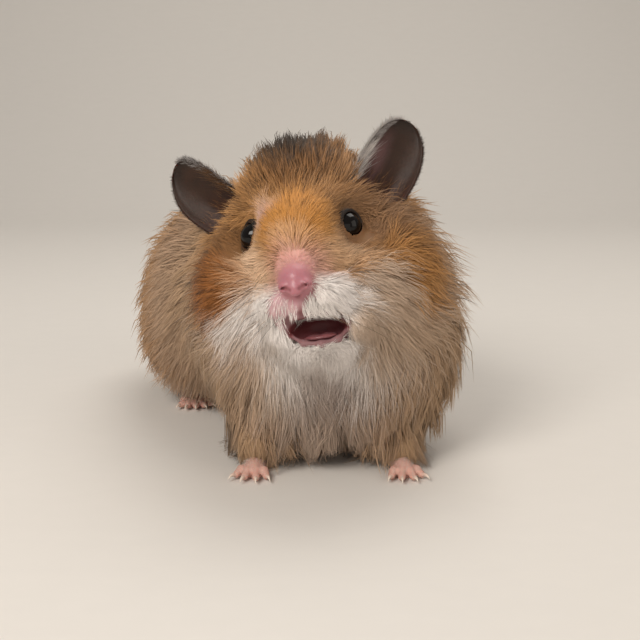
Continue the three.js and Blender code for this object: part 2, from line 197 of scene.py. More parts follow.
def limb(start: Sequence[float], end: Sequence[float], start_radius: float, end_radius: float) -> Field:
    """The field of a round bar that tapers between two balls.

    Args:
        start: Centre of the first ball.
        end: Centre of the second ball.
        start_radius: Radius at the start.
        end_radius: Radius at the end.

    Returns:
        The field.
    """
    first = np.asarray(start, float)
    run = np.asarray(end, float) - first

    def value(points: Array) -> Array:
        """Measures the distance from the nearest place on the bar's axis.

        Args:
            points: The points.

        Returns:
            Their distances.
        """
        off = points - first
        t = np.clip(off @ run / (run @ run), 0, 1)
        gap = np.linalg.norm(off - t[..., None] * run, axis=-1)
        return gap - (start_radius + t * (end_radius - start_radius))

    return value


def merged(reach: float, *fields: Field) -> Field:
    """A soft union, in which neighbouring forms flow into each other.

    Args:
        reach: How far apart two surfaces may be and still blend.
        fields: The forms.

    Returns:
        The joined field.
    """

    def value(points: Array) -> Array:
        """Adds the forms one by one.

        Args:
            points: The points.

        Returns:
            Their distances.
        """
        total = fields[0](points)
        for other in fields[1:]:
            added = other(points)
            overlap = np.maximum(reach - np.abs(total - added), 0) / reach
            total = np.minimum(total, added) - overlap * overlap * reach / 4
        return total

    return value


def carved(whole: Field, hollow: Field, reach: float) -> Field:
    """A form with a hollow cut into it, its edge softened.

    Args:
        whole: The form.
        hollow: What is cut away.
        reach: How soft the edge is.

    Returns:
        The carved field.
    """
    inverse = merged(reach, lambda points: -whole(points), hollow)
    return lambda points: -inverse(points)


def slope_of(field: Field, points: Array, step: float = 0.05) -> Array:
    """The outward direction of a field at points near its surface.

    Args:
        field: The field.
        points: The points.
        step: The distance over which the slope is measured.

    Returns:
        Unit vectors.
    """
    steps = np.eye(3) * step
    return unit(np.stack([field(points + s) - field(points - s) for s in steps], axis=-1))


# ---------------------------------------------------------------- the animal's masses
class Side(Enum):
    """The animal's own left and right, as the sign of X."""

    LEFT = 1
    RIGHT = -1

    @property
    def place(self) -> int:
        """The side's place in a pair of sizes."""
        return list(Side).index(self)

    @property
    def word(self) -> str:
        """The side's name in the names of pieces."""
        return self.name.lower()


@dataclass(frozen=True)
class Mass:
    """A rounded mass of flesh and the depth of the coat over it."""

    centre: Triple
    radii: Triple
    coat: float

    def field(self, coat_share: float) -> Field:
        """The mass with a share of its coat.

        Args:
            coat_share: 0 for bare flesh, 1 for the tips of the coat.

        Returns:
            The field.
        """
        return ellipsoid(self.centre, np.asarray(self.radii) + coat_share * self.coat)

    def on(self, side: Side) -> Mass:
        """The mass, given for the left, on either side."""
        return Mass((side.value * self.centre[0], *self.centre[1:]), self.radii, self.coat)


@dataclass(frozen=True)
class HeadSizes:
    """The head in its own frame, whose origin lies midway between the eyes."""

    eye_height: float = 58.5
    pitch: float = -12.0
    roll: float = -8.5
    yaw: float = -9.0
    eye_radius: float = 3.7
    eye_side: float = 9.8
    eye_back: float = 0.2
    eye_up: float = -0.5
    eye_drop: tuple[float, float] = (0.7, 0.0)
    eye_outward: float = 52.0
    eye_upward: tuple[float, float] = (-4.0, 12.0)
    eye_slant: tuple[float, float] = (0.95, 0.42)
    socket_gap: float = 0.3
    mound_radius: float = 5.0
    mound_depth: float = 1.3
    lid_ring: float = 2.85
    lid_stretch: float = 1.2
    lid_height: float = 2.1
    lid_thickness: float = 0.36
    coat_dip_radius: float = 5.8
    coat_dip_height: float = 1.1
    cranium: Mass = Mass((0, 15.5, 0.8), (16.5, 15.5, 15), 5.0)
    brow: Mass = Mass((0, 0.5, -3.5), (9.6, 12, 9), 2.0)
    cheek: Mass = Mass((12.8, 8.5, -12), (10.5, 12.5, 11.2), 5.3)
    throat: Mass = Mass((1, 8, -21), (14, 13, 10), 5.5)
    pad: Mass = Mass((4.8, -11.4, -16.4), (4.2, 4.8, 3.9), 1.0)
    jaw: Mass = Mass((2.0, -3.5, -25.9), (6.8, 7.8, 3.5), 2.0)
    lip_corners: tuple[Mass, Mass] = (
        Mass((-5.2, -8.8, -21.8), (2.8, 4.0, 3.2), 1.0),
        Mass((9.4, -7.0, -21.8), (2.7, 3.8, 3.0), 1.0),
    )
    lip_middle: Mass = Mass((0.1, -12.2, -17.2), (3.2, 3.4, 3.3), 0.5)
    snout_root: Triple = (0, -3, -6)
    snout_tip: Triple = (0, -13.2, -12)
    snout_radii: tuple[float, float] = (8.4, 4.6)
    snout_coat: float = 1.0
    mouth: Triple = (2.7, -11.4, -22.8)
    mouth_radii: Triple = (6.1, 5.6, 2.8)
    lower_lip: tuple[Triple, ...] = (
        (-3.2, -11.0, -23.6),
        (-0.8, -12.4, -25.3),
        (3.0, -12.8, -25.9),
        (6.5, -11.5, -25.4),
        (8.3, -9.4, -23.7),
    )
    lower_lip_radii: tuple[float, ...] = (0.3, 0.5, 0.55, 0.5, 0.3)
    groove: tuple[Triple, Triple] = ((0.2, -17.8, -15.4), (0.1, -15.2, -20.4))
    groove_radii: tuple[float, float] = (0.45, 0.6)
    nose: Triple = (0.2, -16.4, -12.0)
    nose_radii: Triple = (3.2, 3.1, 3.3)


@dataclass(frozen=True)
class TrunkSizes:
    """The trunk, tail and legs, in the animal's frame."""

    turn: float = 19.0
    hip: tuple[float, float] = (-11.0, 70.0)
    nape: Mass = Mass((5, 22, 44), (21, 17, 18), 8.5)
    breast: Mass = Mass((7.5, 19, 28), (23, 18, 18), 9.5)
    shoulders: Mass = Mass((2, 37, 37), (26.5, 23, 24), 8.5)
    barrel: Mass = Mass((-7, 60, 35), (28, 26, 24), 8.5)
    rump: Mass = Mass((-17, 86, 31), (25, 24, 23), 7.5)
    thigh_radii: Triple = (11, 16, 14)
    thigh_coat: float = 7.0
    shoulder: Triple = (12, 20, 25)
    elbow: Triple = (16.5, 14, 14.5)
    wrist: Triple = (17, 6.5, 5.2)
    fore_middle: float = 6.5
    fore_radii: Triple = (6.5, 4.9, 2.7)
    fore_coat: float = 2.2
    hind_radii: tuple[float, float] = (6.5, 3.4)
    hind_coat: float = 2.2


@dataclass
class Anatomy:
    """The animal's fields: the skin, and the surface through the tips of its coat."""

    head_sizes: HeadSizes
    trunk_sizes: TrunkSizes

    def __post_init__(self) -> None:
        """Works out the head's place and the trunk's own directions."""
        head, angle = self.head_sizes, math.radians(self.trunk_sizes.turn)
        self.head_turn = turned(head.pitch, head.roll, head.yaw)
        self.head_origin = np.array([0.0, 0.0, head.eye_height])
        self.back_way = np.array([-math.sin(angle), math.cos(angle), 0.0])
        self.left_way = np.array([math.cos(angle), math.sin(angle), 0.0])

    def into_head(self, points: Array) -> Array:
        """Points of the animal's frame, in the head's frame."""
        return (points - self.head_origin) @ self.head_turn

    def out_of_head(self, points: Array) -> Array:
        """Points of the head's frame, in the animal's frame."""
        return np.asarray(points, float) @ self.head_turn.T + self.head_origin

    def from_hip(self, behind: float, left: float, up: float) -> Array:
        """A point given from the middle of the hips.

        Args:
            behind: Distance toward the tail.
            left: Distance toward the animal's left.
            up: Height above the floor.

        Returns:
            The point in the animal's frame.
        """
        x, y = self.trunk_sizes.hip
        return np.array([x, y, up]) + behind * self.back_way + left * self.left_way

    def eye_centre(self, side: Side) -> Array:
        """The eyeball's centre in the head's frame."""
        head = self.head_sizes
        return np.array([side.value * head.eye_side, head.eye_back, head.eye_up - head.eye_drop[side.place]])

    def eye_axis(self, side: Side) -> Array:
        """The direction the eye looks in, in the head's frame."""
        out, up = np.radians([self.head_sizes.eye_outward, self.head_sizes.eye_upward[side.place]])
        return np.array([side.value * np.cos(up) * np.sin(out), -np.cos(up) * np.cos(out), np.sin(up)])

    def lid_frame(self, side: Side) -> tuple[Array, Array, Array]:
        """Gives the eye opening's own directions, in the head's frame.

        Args:
            side: Which eye.

        Returns:
            Its axis, its long direction and its short one.
        """
        axis = self.eye_axis(side)
        long = np.array([side.value * self.head_sizes.eye_slant[side.place], 0.0, -1.0])
        long = unit(long - (long @ axis) * axis)
        return axis, long, np.cross(axis, long)

    def by_eyes(self, h: Array, radius: float, soft: float) -> Array:
        """How close points of the head's frame lie to either eye, from 0 to 1."""
        return sum(near(h, self.eye_centre(side), radius, soft) for side in Side)

    def head_bulk(self, share: float) -> Field:
        """The head's masses, without its features.

        Args:
            share: 0 for bare flesh, 1 for the tips of the coat.

        Returns:
            Their field in the head's frame.
        """
        sizes = self.head_sizes
        cheeks = [sizes.cheek.on(side).field(share) for side in Side]
        pads = [sizes.pad.on(side).field(share) for side in Side]
        lips = [mass.field(share) for mass in (*sizes.lip_corners, sizes.lip_middle)]
        cranium, brow, throat = (mass.field(share) for mass in (sizes.cranium, sizes.brow, sizes.throat))
        skull = merged(5, cranium, brow, *cheeks, throat)
        first, last = (r + share * sizes.snout_coat for r in sizes.snout_radii)
        snout = limb(sizes.snout_root, sizes.snout_tip, first, last)
        return merged(4.5, skull, merged(2.2, snout, *pads, sizes.jaw.field(share), *lips))

    def lid(self, side: Side) -> Field:
        """The rim of the eye's lids.

        Args:
            side: Which eye.

        Returns:
            The rim's field in the head's frame.
        """
        sizes, centre = self.head_sizes, self.eye_centre(side)
        axis, long, short = self.lid_frame(side)

        def value(points: Array) -> Array:
            """Measures the distance from an oval ring round the eye.

            Args:
                points: The points.

            Returns:
                Their distances.
            """
            off = points - centre
            across = np.hypot(off @ long / sizes.lid_stretch, off @ short)
            return np.hypot(across - sizes.lid_ring, off @ axis - sizes.lid_height) - sizes.lid_thickness

        return value

    def nose(self) -> Field:
        """Joins the bare pad of the nose and its two wings.

        Returns:
            Their field in the head's frame.
        """
        x, y, z = self.head_sizes.nose
        wings = [ellipsoid((x + s.value * 2.1, y - 1.5, z - 1.2), (1.5, 1.6, 1.35)) for s in Side]
        tip = ellipsoid((x, y - 2.5, z - 1.9), (1.5, 1.0, 1.5))
        return merged(0.7, ellipsoid((x, y, z), self.head_sizes.nose_radii), *wings, tip)

    def nostril(self, side: Side) -> Field:
        """The comma-shaped slit of one nostril.

        Args:
            side: Which nostril.

        Returns:
            Its field in the head's frame.
        """
        x, y, z = self.head_sizes.nose
        bend = (x + side.value * 1.85, y - 3.2, z - 1.45)
        hole = limb((x + side.value * 1.2, y - 3.55, z - 1.9), bend, 0.46, 0.34)
        tail = limb(bend, (x + side.value * 3.1, y - 2.1, z - 1.3), 0.34, 0.18)
        return merged(0.3, hole, tail)

    def groove(self) -> Field:
        """The split from the nose down to the mouth."""
        return limb(*self.head_sizes.groove, *self.head_sizes.groove_radii)

    def mouth(self) -> Field:
        """The mouth's hollow in the head's frame."""
        return ellipsoid(self.head_sizes.mouth, self.head_sizes.mouth_radii)

    def mouth_room(self, h: Array) -> Array:
        """Finds the walls of the mouth's hollow.

        Args:
            h: Points of the head's frame.

        Returns:
            1 on the walls, 0 outside the mouth.
        """
        gap = self.mouth()(h)
        deep = ramp(-10.0, -8.0, h[..., 1])
        return ramp(-1.0, -3.0, h[..., 1]) * np.maximum(ramp(0.7, 0.2, gap), deep * ramp(2.2, 1.4, gap))

    def mouth_wall(self, h: Array) -> Array:
        """Finds the skin beside the mouth's hollow that faces into it.

        Args:
            h: Points of the head's frame.

        Returns:
            1 on that skin, 0 away from it.
        """
        gap = self.mouth()(h)
        share = np.zeros(len(h))
        close = (gap < 2.8) & (h[:, 1] < -1)
        inward = (np.asarray(self.head_sizes.mouth) - h[close]) * (1, 0, 1)
        facing = np.sum(slope_of(self.head_skin(), h[close]) * unit(inward), axis=1)
        share[close] = ramp(0.2, 0.5, facing) * ramp(2.8, 2.2, gap[close])
        return share

    def lower_lip(self) -> Field:
        """The soft edge of the lower lip."""
        run, radii = self.head_sizes.lower_lip, self.head_sizes.lower_lip_radii
        return merged(1.3, *(limb(a, b, p, q) for a, b, p, q in zip(run, run[1:], radii, radii[1:])))

    def head_skin(self) -> Field:
        """Builds the head's bare skin with its lids, nose, lips and mouth.

        Returns:
            Its field in the head's frame.
        """
        sizes = self.head_sizes
        form = self.head_bulk(0.0)
        for side in Side:
            centre = self.eye_centre(side)
            mound = ellipsoid(centre - sizes.mound_depth * self.eye_axis(side), (sizes.mound_radius,) * 3)
            socket = ellipsoid(centre, (sizes.eye_radius + sizes.socket_gap,) * 3)
            form = merged(0.5, carved(merged(2.0, form, mound), socket, 0.2), self.lid(side))
        form = merged(1.6, form, self.nose())
        for side in Side:
            form = carved(form, self.nostril(side), 0.3)
        form = carved(carved(form, self.groove(), 0.8), self.mouth(), 0.9)
        return merged(1.3, form, self.lower_lip())

    def head_coat(self) -> Field:
        """Builds the surface through the tips of the head's coat.

        Returns:
            Its field in the head's frame.
        """
        radius = self.head_sizes.coat_dip_radius
        form = carved(self.head_bulk(1.0), self.mouth(), 0.8)
        for side in Side:
            centre = self.eye_centre(side) + (self.head_sizes.coat_dip_height + radius) * self.eye_axis(side)
            form = carved(form, ellipsoid(centre, (radius,) * 3), 4.5)
        return form

    def trunk(self, share: float) -> Field:
        """The trunk's masses.

        Args:
            share: 0 for bare flesh, 1 for the tips of the coat.

        Returns:
            Their field in the animal's frame.
        """
        sizes = self.trunk_sizes
        hips = [tuple(self.from_hip(4, s.value * 18, 21)) for s in Side]
        thighs = [Mass(hip, sizes.thigh_radii, sizes.thigh_coat) for hip in hips]
        masses = [sizes.nape, sizes.breast, sizes.shoulders, sizes.barrel, sizes.rump, *thighs]
        return merged(8, *(mass.field(share) for mass in masses))

    def fore_joint(self, joint: Triple, side: Side) -> Array:
        """A joint of a foreleg in the animal's frame."""
        x, y, z = joint
        return np.array([self.trunk_sizes.fore_middle + side.value * x, y, z])

    def ankle(self, side: Side) -> Array:
        """A hind leg's ankle in the animal's frame."""
        return self.from_hip(8, side.value * 20.5, 6)

    def legs(self, share: float) -> Field:
        """All four legs down to the feet.

        Args:
            share: 0 for bare flesh, 1 for the tips of the coat.

        Returns:
            Their field in the animal's frame.
        """
        sizes, parts = self.trunk_sizes, []
        radii = [r + share * sizes.fore_coat for r in sizes.fore_radii]
        for side in Side:
            joints = [self.fore_joint(j, side) for j in (sizes.shoulder, sizes.elbow, sizes.wrist)]
            parts.extend(limb(*joints[n : n + 2], *radii[n : n + 2]) for n in range(2))
            knee = self.from_hip(-6, side.value * 20, 15)
            thick, thin = (r + share * sizes.hind_coat for r in sizes.hind_radii)
            parts.append(limb(knee, self.ankle(side), thick, thin))
        return merged(2.5, *parts)

    def tail(self, share: float) -> Field:
        """The short tail."""
        root, tip = self.from_hip(38, 0, 17), self.from_hip(51.5, -1, 10)
        return limb(root, tip, 2.6 + 1.6 * share, 1.3 + 0.7 * share)

    def skin(self) -> Field:
        """The whole animal's skin but for the ears and feet."""
        head, rest = self.head_skin(), merged(3, self.trunk(0.0), self.legs(0.0), self.tail(0.0))
        return merged(6, lambda p: head(self.into_head(p)), rest)

    def coat(self) -> Field:
        """The surface through the tips of the whole coat."""
        head, rest = self.head_coat(), merged(2, self.trunk(1.0), self.legs(1.0), self.tail(1.0))
        return merged(3, lambda p: head(self.into_head(p)), rest)


# ---------------------------------------------------------------- surfaces
CORNERS = np.array([(n & 1, n >> 1 & 1, n >> 2) for n in range(8)])


@dataclass(frozen=True)
class Lattice:
    """A grid of cells that are fine round one point and grow with the distance from it.

    The low and high counts are cells from the centre; the cells keep their fine size for `steady` cells and
    reach the coarse one after `easing` more.
    """

    centre: Triple
    low: tuple[int, int, int]
    high: tuple[int, int, int]
    fine: float
    coarse: float
    steady: float = 0.0
    easing: float = 1.0
    block: int = 8
    batch: int = 100_000
    far: float = 50.0

    def place(self, cells: Array) -> Array:
        """Turns places on the grid into points.

        Args:
            cells: Places counted in cells from the low corner.

        Returns:
            Points in the frame of the form that is drawn.
        """
        cells = cells + np.asarray(self.low, float)
        out = np.linalg.norm(cells, axis=-1, keepdims=True)
        past = np.maximum(out - self.steady, 0)
        share = np.minimum(past / self.easing, 1)
        grown = past - self.easing * share + self.easing * share * share / 2
        reach = self.fine * out + (self.coarse - self.fine) * grown
        return np.asarray(self.centre) + cells / np.maximum(out, 1e-9) * reach

    def _batches(self, rows: Array) -> list[Array]:
        """Rows in batches that fit the memory."""
        return np.array_split(rows, max(1, len(rows) // self.batch))

    def sampled(self, field: Field) -> Array:
        """Reads a field at every grid point, in full only near its surface and otherwise just its sign.

        Args:
            field: The form.

        Returns:
            The values, as a block of numbers.
        """
        shape, block = np.array(self.high) - np.array(self.low) + 1, self.block
        blocks = -(-shape // block)
        start = np.argwhere(np.ones(blocks)) * block
        middle = self.place(start + (block - 1) / 2)
        reaches = [np.linalg.norm(self.place(start + corner * block) - middle, axis=1) for corner in CORNERS]
        value = np.concatenate([field(part) for part in self._batches(middle)])
        rough = np.where(value < 0, -self.far, self.far).reshape(blocks)
        for axis in range(3):
            rough = np.repeat(rough, block, axis=axis)
        close = start[np.abs(value) < 2 * np.max(reaches, axis=0) + 1]
        inner = np.argwhere(np.ones((block,) * 3))
        for part in self._batches((close[:, None] + inner).reshape(-1, 3)):
            rough[tuple(part.T)] = field(self.place(part))
        return rough[: shape[0], : shape[1], : shape[2]]


@dataclass
class Surface:
    """A closed surface in millimetres: its points and four-cornered or three-cornered faces."""

    points: Array
    faces: Array

    def moved(self, change: Callable[[Array], Array]) -> Surface:
        """The surface with every point passed through a change of place."""
        return Surface(change(self.points), self.faces)


def surface_of(field: Field, lattice: Lattice) -> Surface:
    """Draws a field's surface: one point in each crossed grid cell, one face round each crossed grid edge.

    Args:
        field: The form.
        lattice: The grid it is drawn on.

    Returns:
        A surface of four-cornered faces that point outward.
    """
    values = lattice.sampled(field)
    cells = tuple(n - 1 for n in values.shape)
    windows = [values[tuple(slice(c, c + n) for c, n in zip(corner, cells))] for corner in CORNERS]
    inside = sum((window < 0).astype(np.int8) for window in windows)
    at = np.argwhere((inside > 0) & (inside < 8))
    held = np.stack([values[tuple((at + c).T)] for c in CORNERS], axis=1)
    total, hits = np.zeros((len(at), 3)), np.zeros(len(at))
    for first in range(8):
        for bit in (1, 2, 4):
            if first & bit:
                continue
            a, b = held[:, first], held[:, first | bit]
            crossed = (a < 0) != (b < 0)
            t = np.where(crossed, a / np.where(crossed, a - b, 1), 0)[:, None]
            step = CORNERS[first | bit] - CORNERS[first]
            total += np.where(crossed[:, None], CORNERS[first] + t * step, 0)
            hits += crossed
    points = lattice.place(at + total / hits[:, None])
    for _ in range(2):
        points = points - 0.8 * field(points)[:, None] * slope_of(field, points)

    number = -np.ones(cells, dtype=np.int64)
    number[tuple(at.T)] = np.arange(len(at))
    faces = []
    for d in range(3):
        u, w = (d + 1) % 3, (d + 2) % 3
        step = np.eye(3, dtype=int)
        low = np.take(values, range(cells[d]), axis=d) < 0
        high = np.take(values, range(1, cells[d] + 1), axis=d) < 0
        edge = np.argwhere(low != high)
        edge = edge[(edge[:, u] > 0) & (edge[:, w] > 0) & (edge[:, u] < cells[u]) & (edge[:, w] < cells[w])]
        here = low[tuple(edge.T)]
        around = [edge, edge - step[u], edge - step[u] - step[w], edge - step[w]]
        quad = np.stack([number[tuple(c.T)] for c in around], axis=1)
        faces.append(np.where(here[:, None], quad, quad[:, ::-1]))
    return Surface(points, np.concatenate(faces))


def triangles_of(surface: Surface) -> tuple[Array, Array, Array]:
    """Splits a surface of four-cornered faces.

    Args:
        surface: The surface.

    Returns:
        The triangles' middles, areas and corners.
    """
    quads = surface.points[surface.faces]
    corners = np.concatenate([quads[:, [0, 1, 2]], quads[:, [0, 2, 3]]], axis=1).reshape(-1, 3, 3)
    cross = np.cross(corners[:, 1] - corners[:, 0], corners[:, 2] - corners[:, 0])
    return corners.mean(axis=1), np.linalg.norm(cross, axis=1) / 2, corners


def scattered(corners: Array, share: Array, rng: np.random.Generator) -> Array:
    """Points spread evenly over triangles, with a little scatter.

    Args:
        corners: The triangles.
        share: How many points each should get, as a fraction.
        rng: The source of the scatter.

    Returns:
        The points.
    """
    reach = np.concatenate([[0.0], np.cumsum(share)])
    count = int(reach[-1])
    marks = (np.arange(count) + rng.uniform(0, 1, count)) * reach[-1] / count
    face = np.clip(np.searchsorted(reach, marks, side="right") - 1, 0, len(share) - 1)
    a, b = rng.random((2, count, 1))
    flip = a + b > 1
    a, b = np.where(flip, 1 - a, a), np.where(flip, 1 - b, b)
    first, second, third = (corners[face, n] for n in range(3))
    return first + a * (second - first) + b * (third - first)


def joined(surfaces: Sequence[Surface]) -> Surface:
    """Puts several surfaces together, each still closed by itself.

    Args:
        surfaces: The surfaces.

    Returns:
        The one surface.
    """
    starts = np.cumsum([0] + [len(s.points) for s in surfaces[:-1]])
    return Surface(
        np.concatenate([s.points for s in surfaces]),
        np.concatenate([s.faces + start for s, start in zip(surfaces, starts)]),
    )


# ---------------------------------------------------------------- ears
@dataclass(frozen=True)
class EarSizes:
    """One ear in the head's frame: a cupped paddle from its base to its tip."""

    side: Side
    base: Triple
    tip: Triple
    outward: float
    half_width: float = 7.2
    cup: float = 3.2
    thickness: float = 0.75
    widest: float = 0.35


class Ear:
    """Gives points of an ear from how far across it and along it they lie."""

    COLUMNS = 36
    ROWS = 34

    def __init__(self, sizes: EarSizes) -> None:
        """Works out the ear's own directions.

        Args:
            sizes: The ear's sizes.
        """
        self.sizes = sizes
        self.base = np.asarray(sizes.base, float)
        self.long = np.asarray(sizes.tip, float) - self.base
        angle = math.radians(sizes.outward)
        facing = np.array([sizes.side.value * math.sin(angle), -math.cos(angle), 0.0])
        self.facing = unit(facing - (facing @ self.long) / (self.long @ self.long) * self.long)
        self.across = unit(np.cross(self.long, self.facing))

    def width(self, v: Array) -> Array:
        """Works out how wide the ear is along its length.

        Args:
            v: From 0 at the base to 1 at the tip.

        Returns:
            The share of the full width.
        """
        widest = self.sizes.widest
        low = 0.94 + 0.06 * np.sin(np.pi / 2 * np.clip(v / widest, 0, 1))
        high = np.sqrt(np.maximum(1 - np.clip((v - widest) / (1.0 - widest), 0, 1) ** 2.3, 0.0))
        return np.where(v < widest, low, high)

    def place(self, u: Array, v: Array, back: Array) -> Array:
        """Points of the ear.

        Args:
            u: From -1 to 1 across the ear.
            v: From 0 at the base to 1 at the tip.
            back: 0 on the hollow face, 1 on the back.

        Returns:
            Points in the head's frame.
        """
        sizes = self.sizes
        span = u * self.width(v)
        rim = ramp(0.8, 1.0, np.abs(u)) * 0.55 + ramp(0.9, 1.0, v) * 0.3
        fold = 0.35 * np.sin(span * 7.0 + 1.0) * ramp(0.65, 0.15, v)
        bend = sizes.cup * (span * span - 0.5) + rim + fold
        thick = sizes.thickness * (1.25 - 0.6 * np.abs(span) ** 2)
        flat = self.base + v[..., None] * self.long + (span * sizes.half_width)[..., None] * self.across
        return flat + (bend - back * thick)[..., None] * self.facing

    def hollow(self, points: Array) -> Array:
        """Finds the points just in front of the ear's hollow face.

        Args:
            points: Points of the head's frame.

        Returns:
            True for those points.
        """
        off = points - self.base
        v = off @ self.long / (self.long @ self.long)
        u = off @ self.across / self.sizes.half_width
        ahead = off @ self.facing - self.sizes.cup * (u * u - 0.5)
        return (v > 0.1) & (v < 1.1) & (np.abs(u) < 0.86) & (np.abs(ahead - 2.5) < 3.5)

    def grid(self) -> tuple[Array, Array, Array]:
        """Spreads points over both faces.

        Returns:
            Each point's place across, its place along and its face.
        """
        along = np.sin(np.linspace(0, np.pi / 2, self.ROWS + 1))
        u, v = np.meshgrid(np.linspace(-1, 1, self.COLUMNS + 1), along)
        return np.tile(u.ravel(), 2), np.tile(v.ravel(), 2), np.repeat([0.0, 1.0], u.size)

    def surface(self) -> Surface:
        """Closes the ear's hollow face, its back and its rim.

        Returns:
            The surface in the head's frame.
        """
        points = self.place(*self.grid())
        front, rear = np.arange(len(points)).reshape(2, self.ROWS + 1, self.COLUMNS + 1)
        faces = [
            np.stack([front[:-1, :-1], front[:-1, 1:], front[1:, 1:], front[1:, :-1]], -1).reshape(-1, 4),
            np.stack([rear[:-1, :-1], rear[1:, :-1], rear[1:, 1:], rear[:-1, 1:]], -1).reshape(-1, 4),
            np.stack([front[:-1, 0], front[1:, 0], rear[1:, 0], rear[:-1, 0]], -1),
            np.stack([front[:-1, -1], rear[:-1, -1], rear[1:, -1], front[1:, -1]], -1),
            np.stack([front[0, :-1], rear[0, :-1], rear[0, 1:], front[0, 1:]], -1),
            np.stack([front[-1, :-1], front[-1, 1:], rear[-1, 1:], rear[-1, :-1]], -1),
        ]
        return Surface(points, np.concatenate(faces))


EARS = (
    EarSizes(Side.LEFT, base=(15.2, 12.8, 5.5), tip=(27.1, 16.0, 21.6), outward=31),
    EarSizes(Side.RIGHT, base=(-17.9, 14.3, 7.3), tip=(-32.4, 18.3, 20.7), outward=38),
)


# ---------------------------------------------------------------- feet
@dataclass(frozen=True)
class FootSizes:
    """A foot in its own frame: heel over the origin, toes toward -Y, sole on the floor."""

    name: str
    palm_length: float
    half_width: float
    height: float
    toes: int
    toe_length: float
    spread: float
    toe_radius: float


FORE_FOOT = FootSizes("fore", 4.5, 3.1, 4.4, 4, 4.2, 58, 1.15)
HIND_FOOT = FootSizes("hind", 12.5, 3.5, 4.6, 5, 4.8, 62, 1.25)


@dataclass(frozen=True)
class Toe:
    """A toe's root, tip and direction in its foot's frame."""

    root: Array
    tip: Array
    way: Array


class Foot:
    """One foot, and where it stands."""

    def __init__(self, sizes: FootSizes, heel: Array, turn: float) -> None:
        """Places the foot.

        Args:
            sizes: The foot's sizes.
            heel: The heel's place on the floor.
            turn: Degrees that it turns to the animal's left.
        """
        self.sizes = sizes
        self.heel = np.array([heel[0], heel[1], 0.0])
        self.matrix = turned(0, 0, turn)

    def placed(self, points: Array) -> Array:
        """Points of the foot's frame, in the animal's frame."""
        return points @ self.matrix.T + self.heel

    def toes(self) -> list[Toe]:
        """Spreads the toes.

        Returns:
            The toes, from one side of the foot to the other.
        """
        sizes, made = self.sizes, []
        for n in range(sizes.toes):
            share = n / (sizes.toes - 1) - 0.5
            angle = math.radians(share * sizes.spread)
            way = np.array([math.sin(angle), -math.cos(angle), 0.0])
            side = share * 2 * (sizes.half_width - sizes.toe_radius)
            root = np.array([side, -sizes.palm_length, sizes.toe_radius])
            made.append(Toe(root, root + way * sizes.toe_length * (1 - 0.9 * share * share), way))
        return made

    def field(self) -> Field:
        """Joins the palm and the toes, with their knuckles, and cuts them flat at the sole.

        Returns:
            The foot's field in its own frame.
        """
        sizes = self.sizes
        heel = (0, -0.5, sizes.height * 0.42)
        front = (0, -sizes.palm_length, sizes.height * 0.3)
        parts = [limb(heel, front, sizes.half_width * 0.86, sizes.half_width * 0.8)]
        for toe in self.toes():
            knuckle = (toe.root + toe.tip) / 2 + (0, 0, 0.75)
            first, second, last = (sizes.toe_radius * share for share in (0.86, 0.78, 0.72))
            parts.append(limb(toe.root + (0, 0, 0.5), knuckle, first, second))
            parts.append(limb(knuckle, toe.tip, second, last))
        whole = merged(0.7, *parts)
        return lambda points: np.maximum(whole(points), 0.02 - points[..., 2])

    def lattice(self) -> Lattice:
        """Fits a grid round the foot.

        Returns:
            The grid in the foot's own frame.
        """
        sizes, cell = self.sizes, 0.3
        aside = int((sizes.half_width + sizes.toe_length * 0.8) / cell) + 1
        ahead = int((sizes.palm_length + sizes.toe_length + 1.6) / cell) + 1
        behind, above = int((sizes.half_width + 1.2) / cell) + 1, int((sizes.height + 1.2) / cell) + 1
        return Lattice((0, 0, 0), (-aside, -ahead, -2), (aside, behind, above), cell, cell)

    def surface(self) -> Surface:
        """The foot's skin in the animal's frame."""
        return surface_of(self.field(), self.lattice()).moved(self.placed)


def feet_of(anatomy: Anatomy) -> list[Foot]:
    """Places the four feet.

    Args:
        anatomy: The animal's forms.

    Returns:
        The fore and hind foot of the left, then of the right.
    """
    turn = anatomy.trunk_sizes.turn
    made = []
    for side in Side:
        wrist = anatomy.fore_joint(anatomy.trunk_sizes.wrist, side)
        made.append(Foot(FORE_FOOT, np.array([wrist[0], 5.5]), side.value * 8))
        made.append(Foot(HIND_FOOT, anatomy.ankle(side), turn + side.value * 12))
    return made


# ---------------------------------------------------------------- markings, with painted shade
def srgb(red: float, green: float, blue: float) -> Array:
    """A colour given from 0 to 255, as scene-linear values."""
    value = np.array([red, green, blue], float) / 255
    return np.where(value <= 0.04045, value / 12.92, ((value + 0.055) / 1.055) ** 2.4)


@dataclass(frozen=True)
class Shades:
    """The coat's and skin's colours. Two of them also stand for painted shade: the greyish brown on the chest
    and under the chin, and the dark red in the nostrils, the groove below the nose and the top of the mouth.
    """

    gold: Triple = (196, 146, 92)
    peach: Triple = (238, 202, 168)
    orange: Triple = (206, 144, 70)
    rust: Triple = (158, 100, 50)
    brown: Triple = (136, 96, 58)
    dark: Triple = (40, 27, 15)
    cream: Triple = (200, 170, 143)
    white: Triple = (250, 242, 236)
    sand: Triple = (184, 150, 112)
    tan: Triple = (142, 107, 76)
    lid: Triple = (22, 15, 12)
    pink: Triple = (178, 116, 126)
    blush: Triple = (226, 172, 160)
    lilac: Triple = (208, 170, 174)
    lip: Triple = (140, 104, 106)
    mouth: Triple = (128, 76, 80)
    # throat: the darker red of the mouth's back, also laid as painted shade in the nostrils, the groove below
    # the nose and the top of the mouth
    throat: Triple = (112, 52, 54)
    ear_hollow: Triple = (52, 31, 18)
    ear_rim: Triple = (46, 33, 25)
    ear_root: Triple = (60, 28, 14)
    silver: Triple = (214, 208, 206)
    umber: Triple = (56, 42, 34)
    # painted shade: a greyish brown laid on the chest and under the chin, where the head shades them
    taupe: Triple = (152, 125, 106)
    paw: Triple = (212, 168, 154)


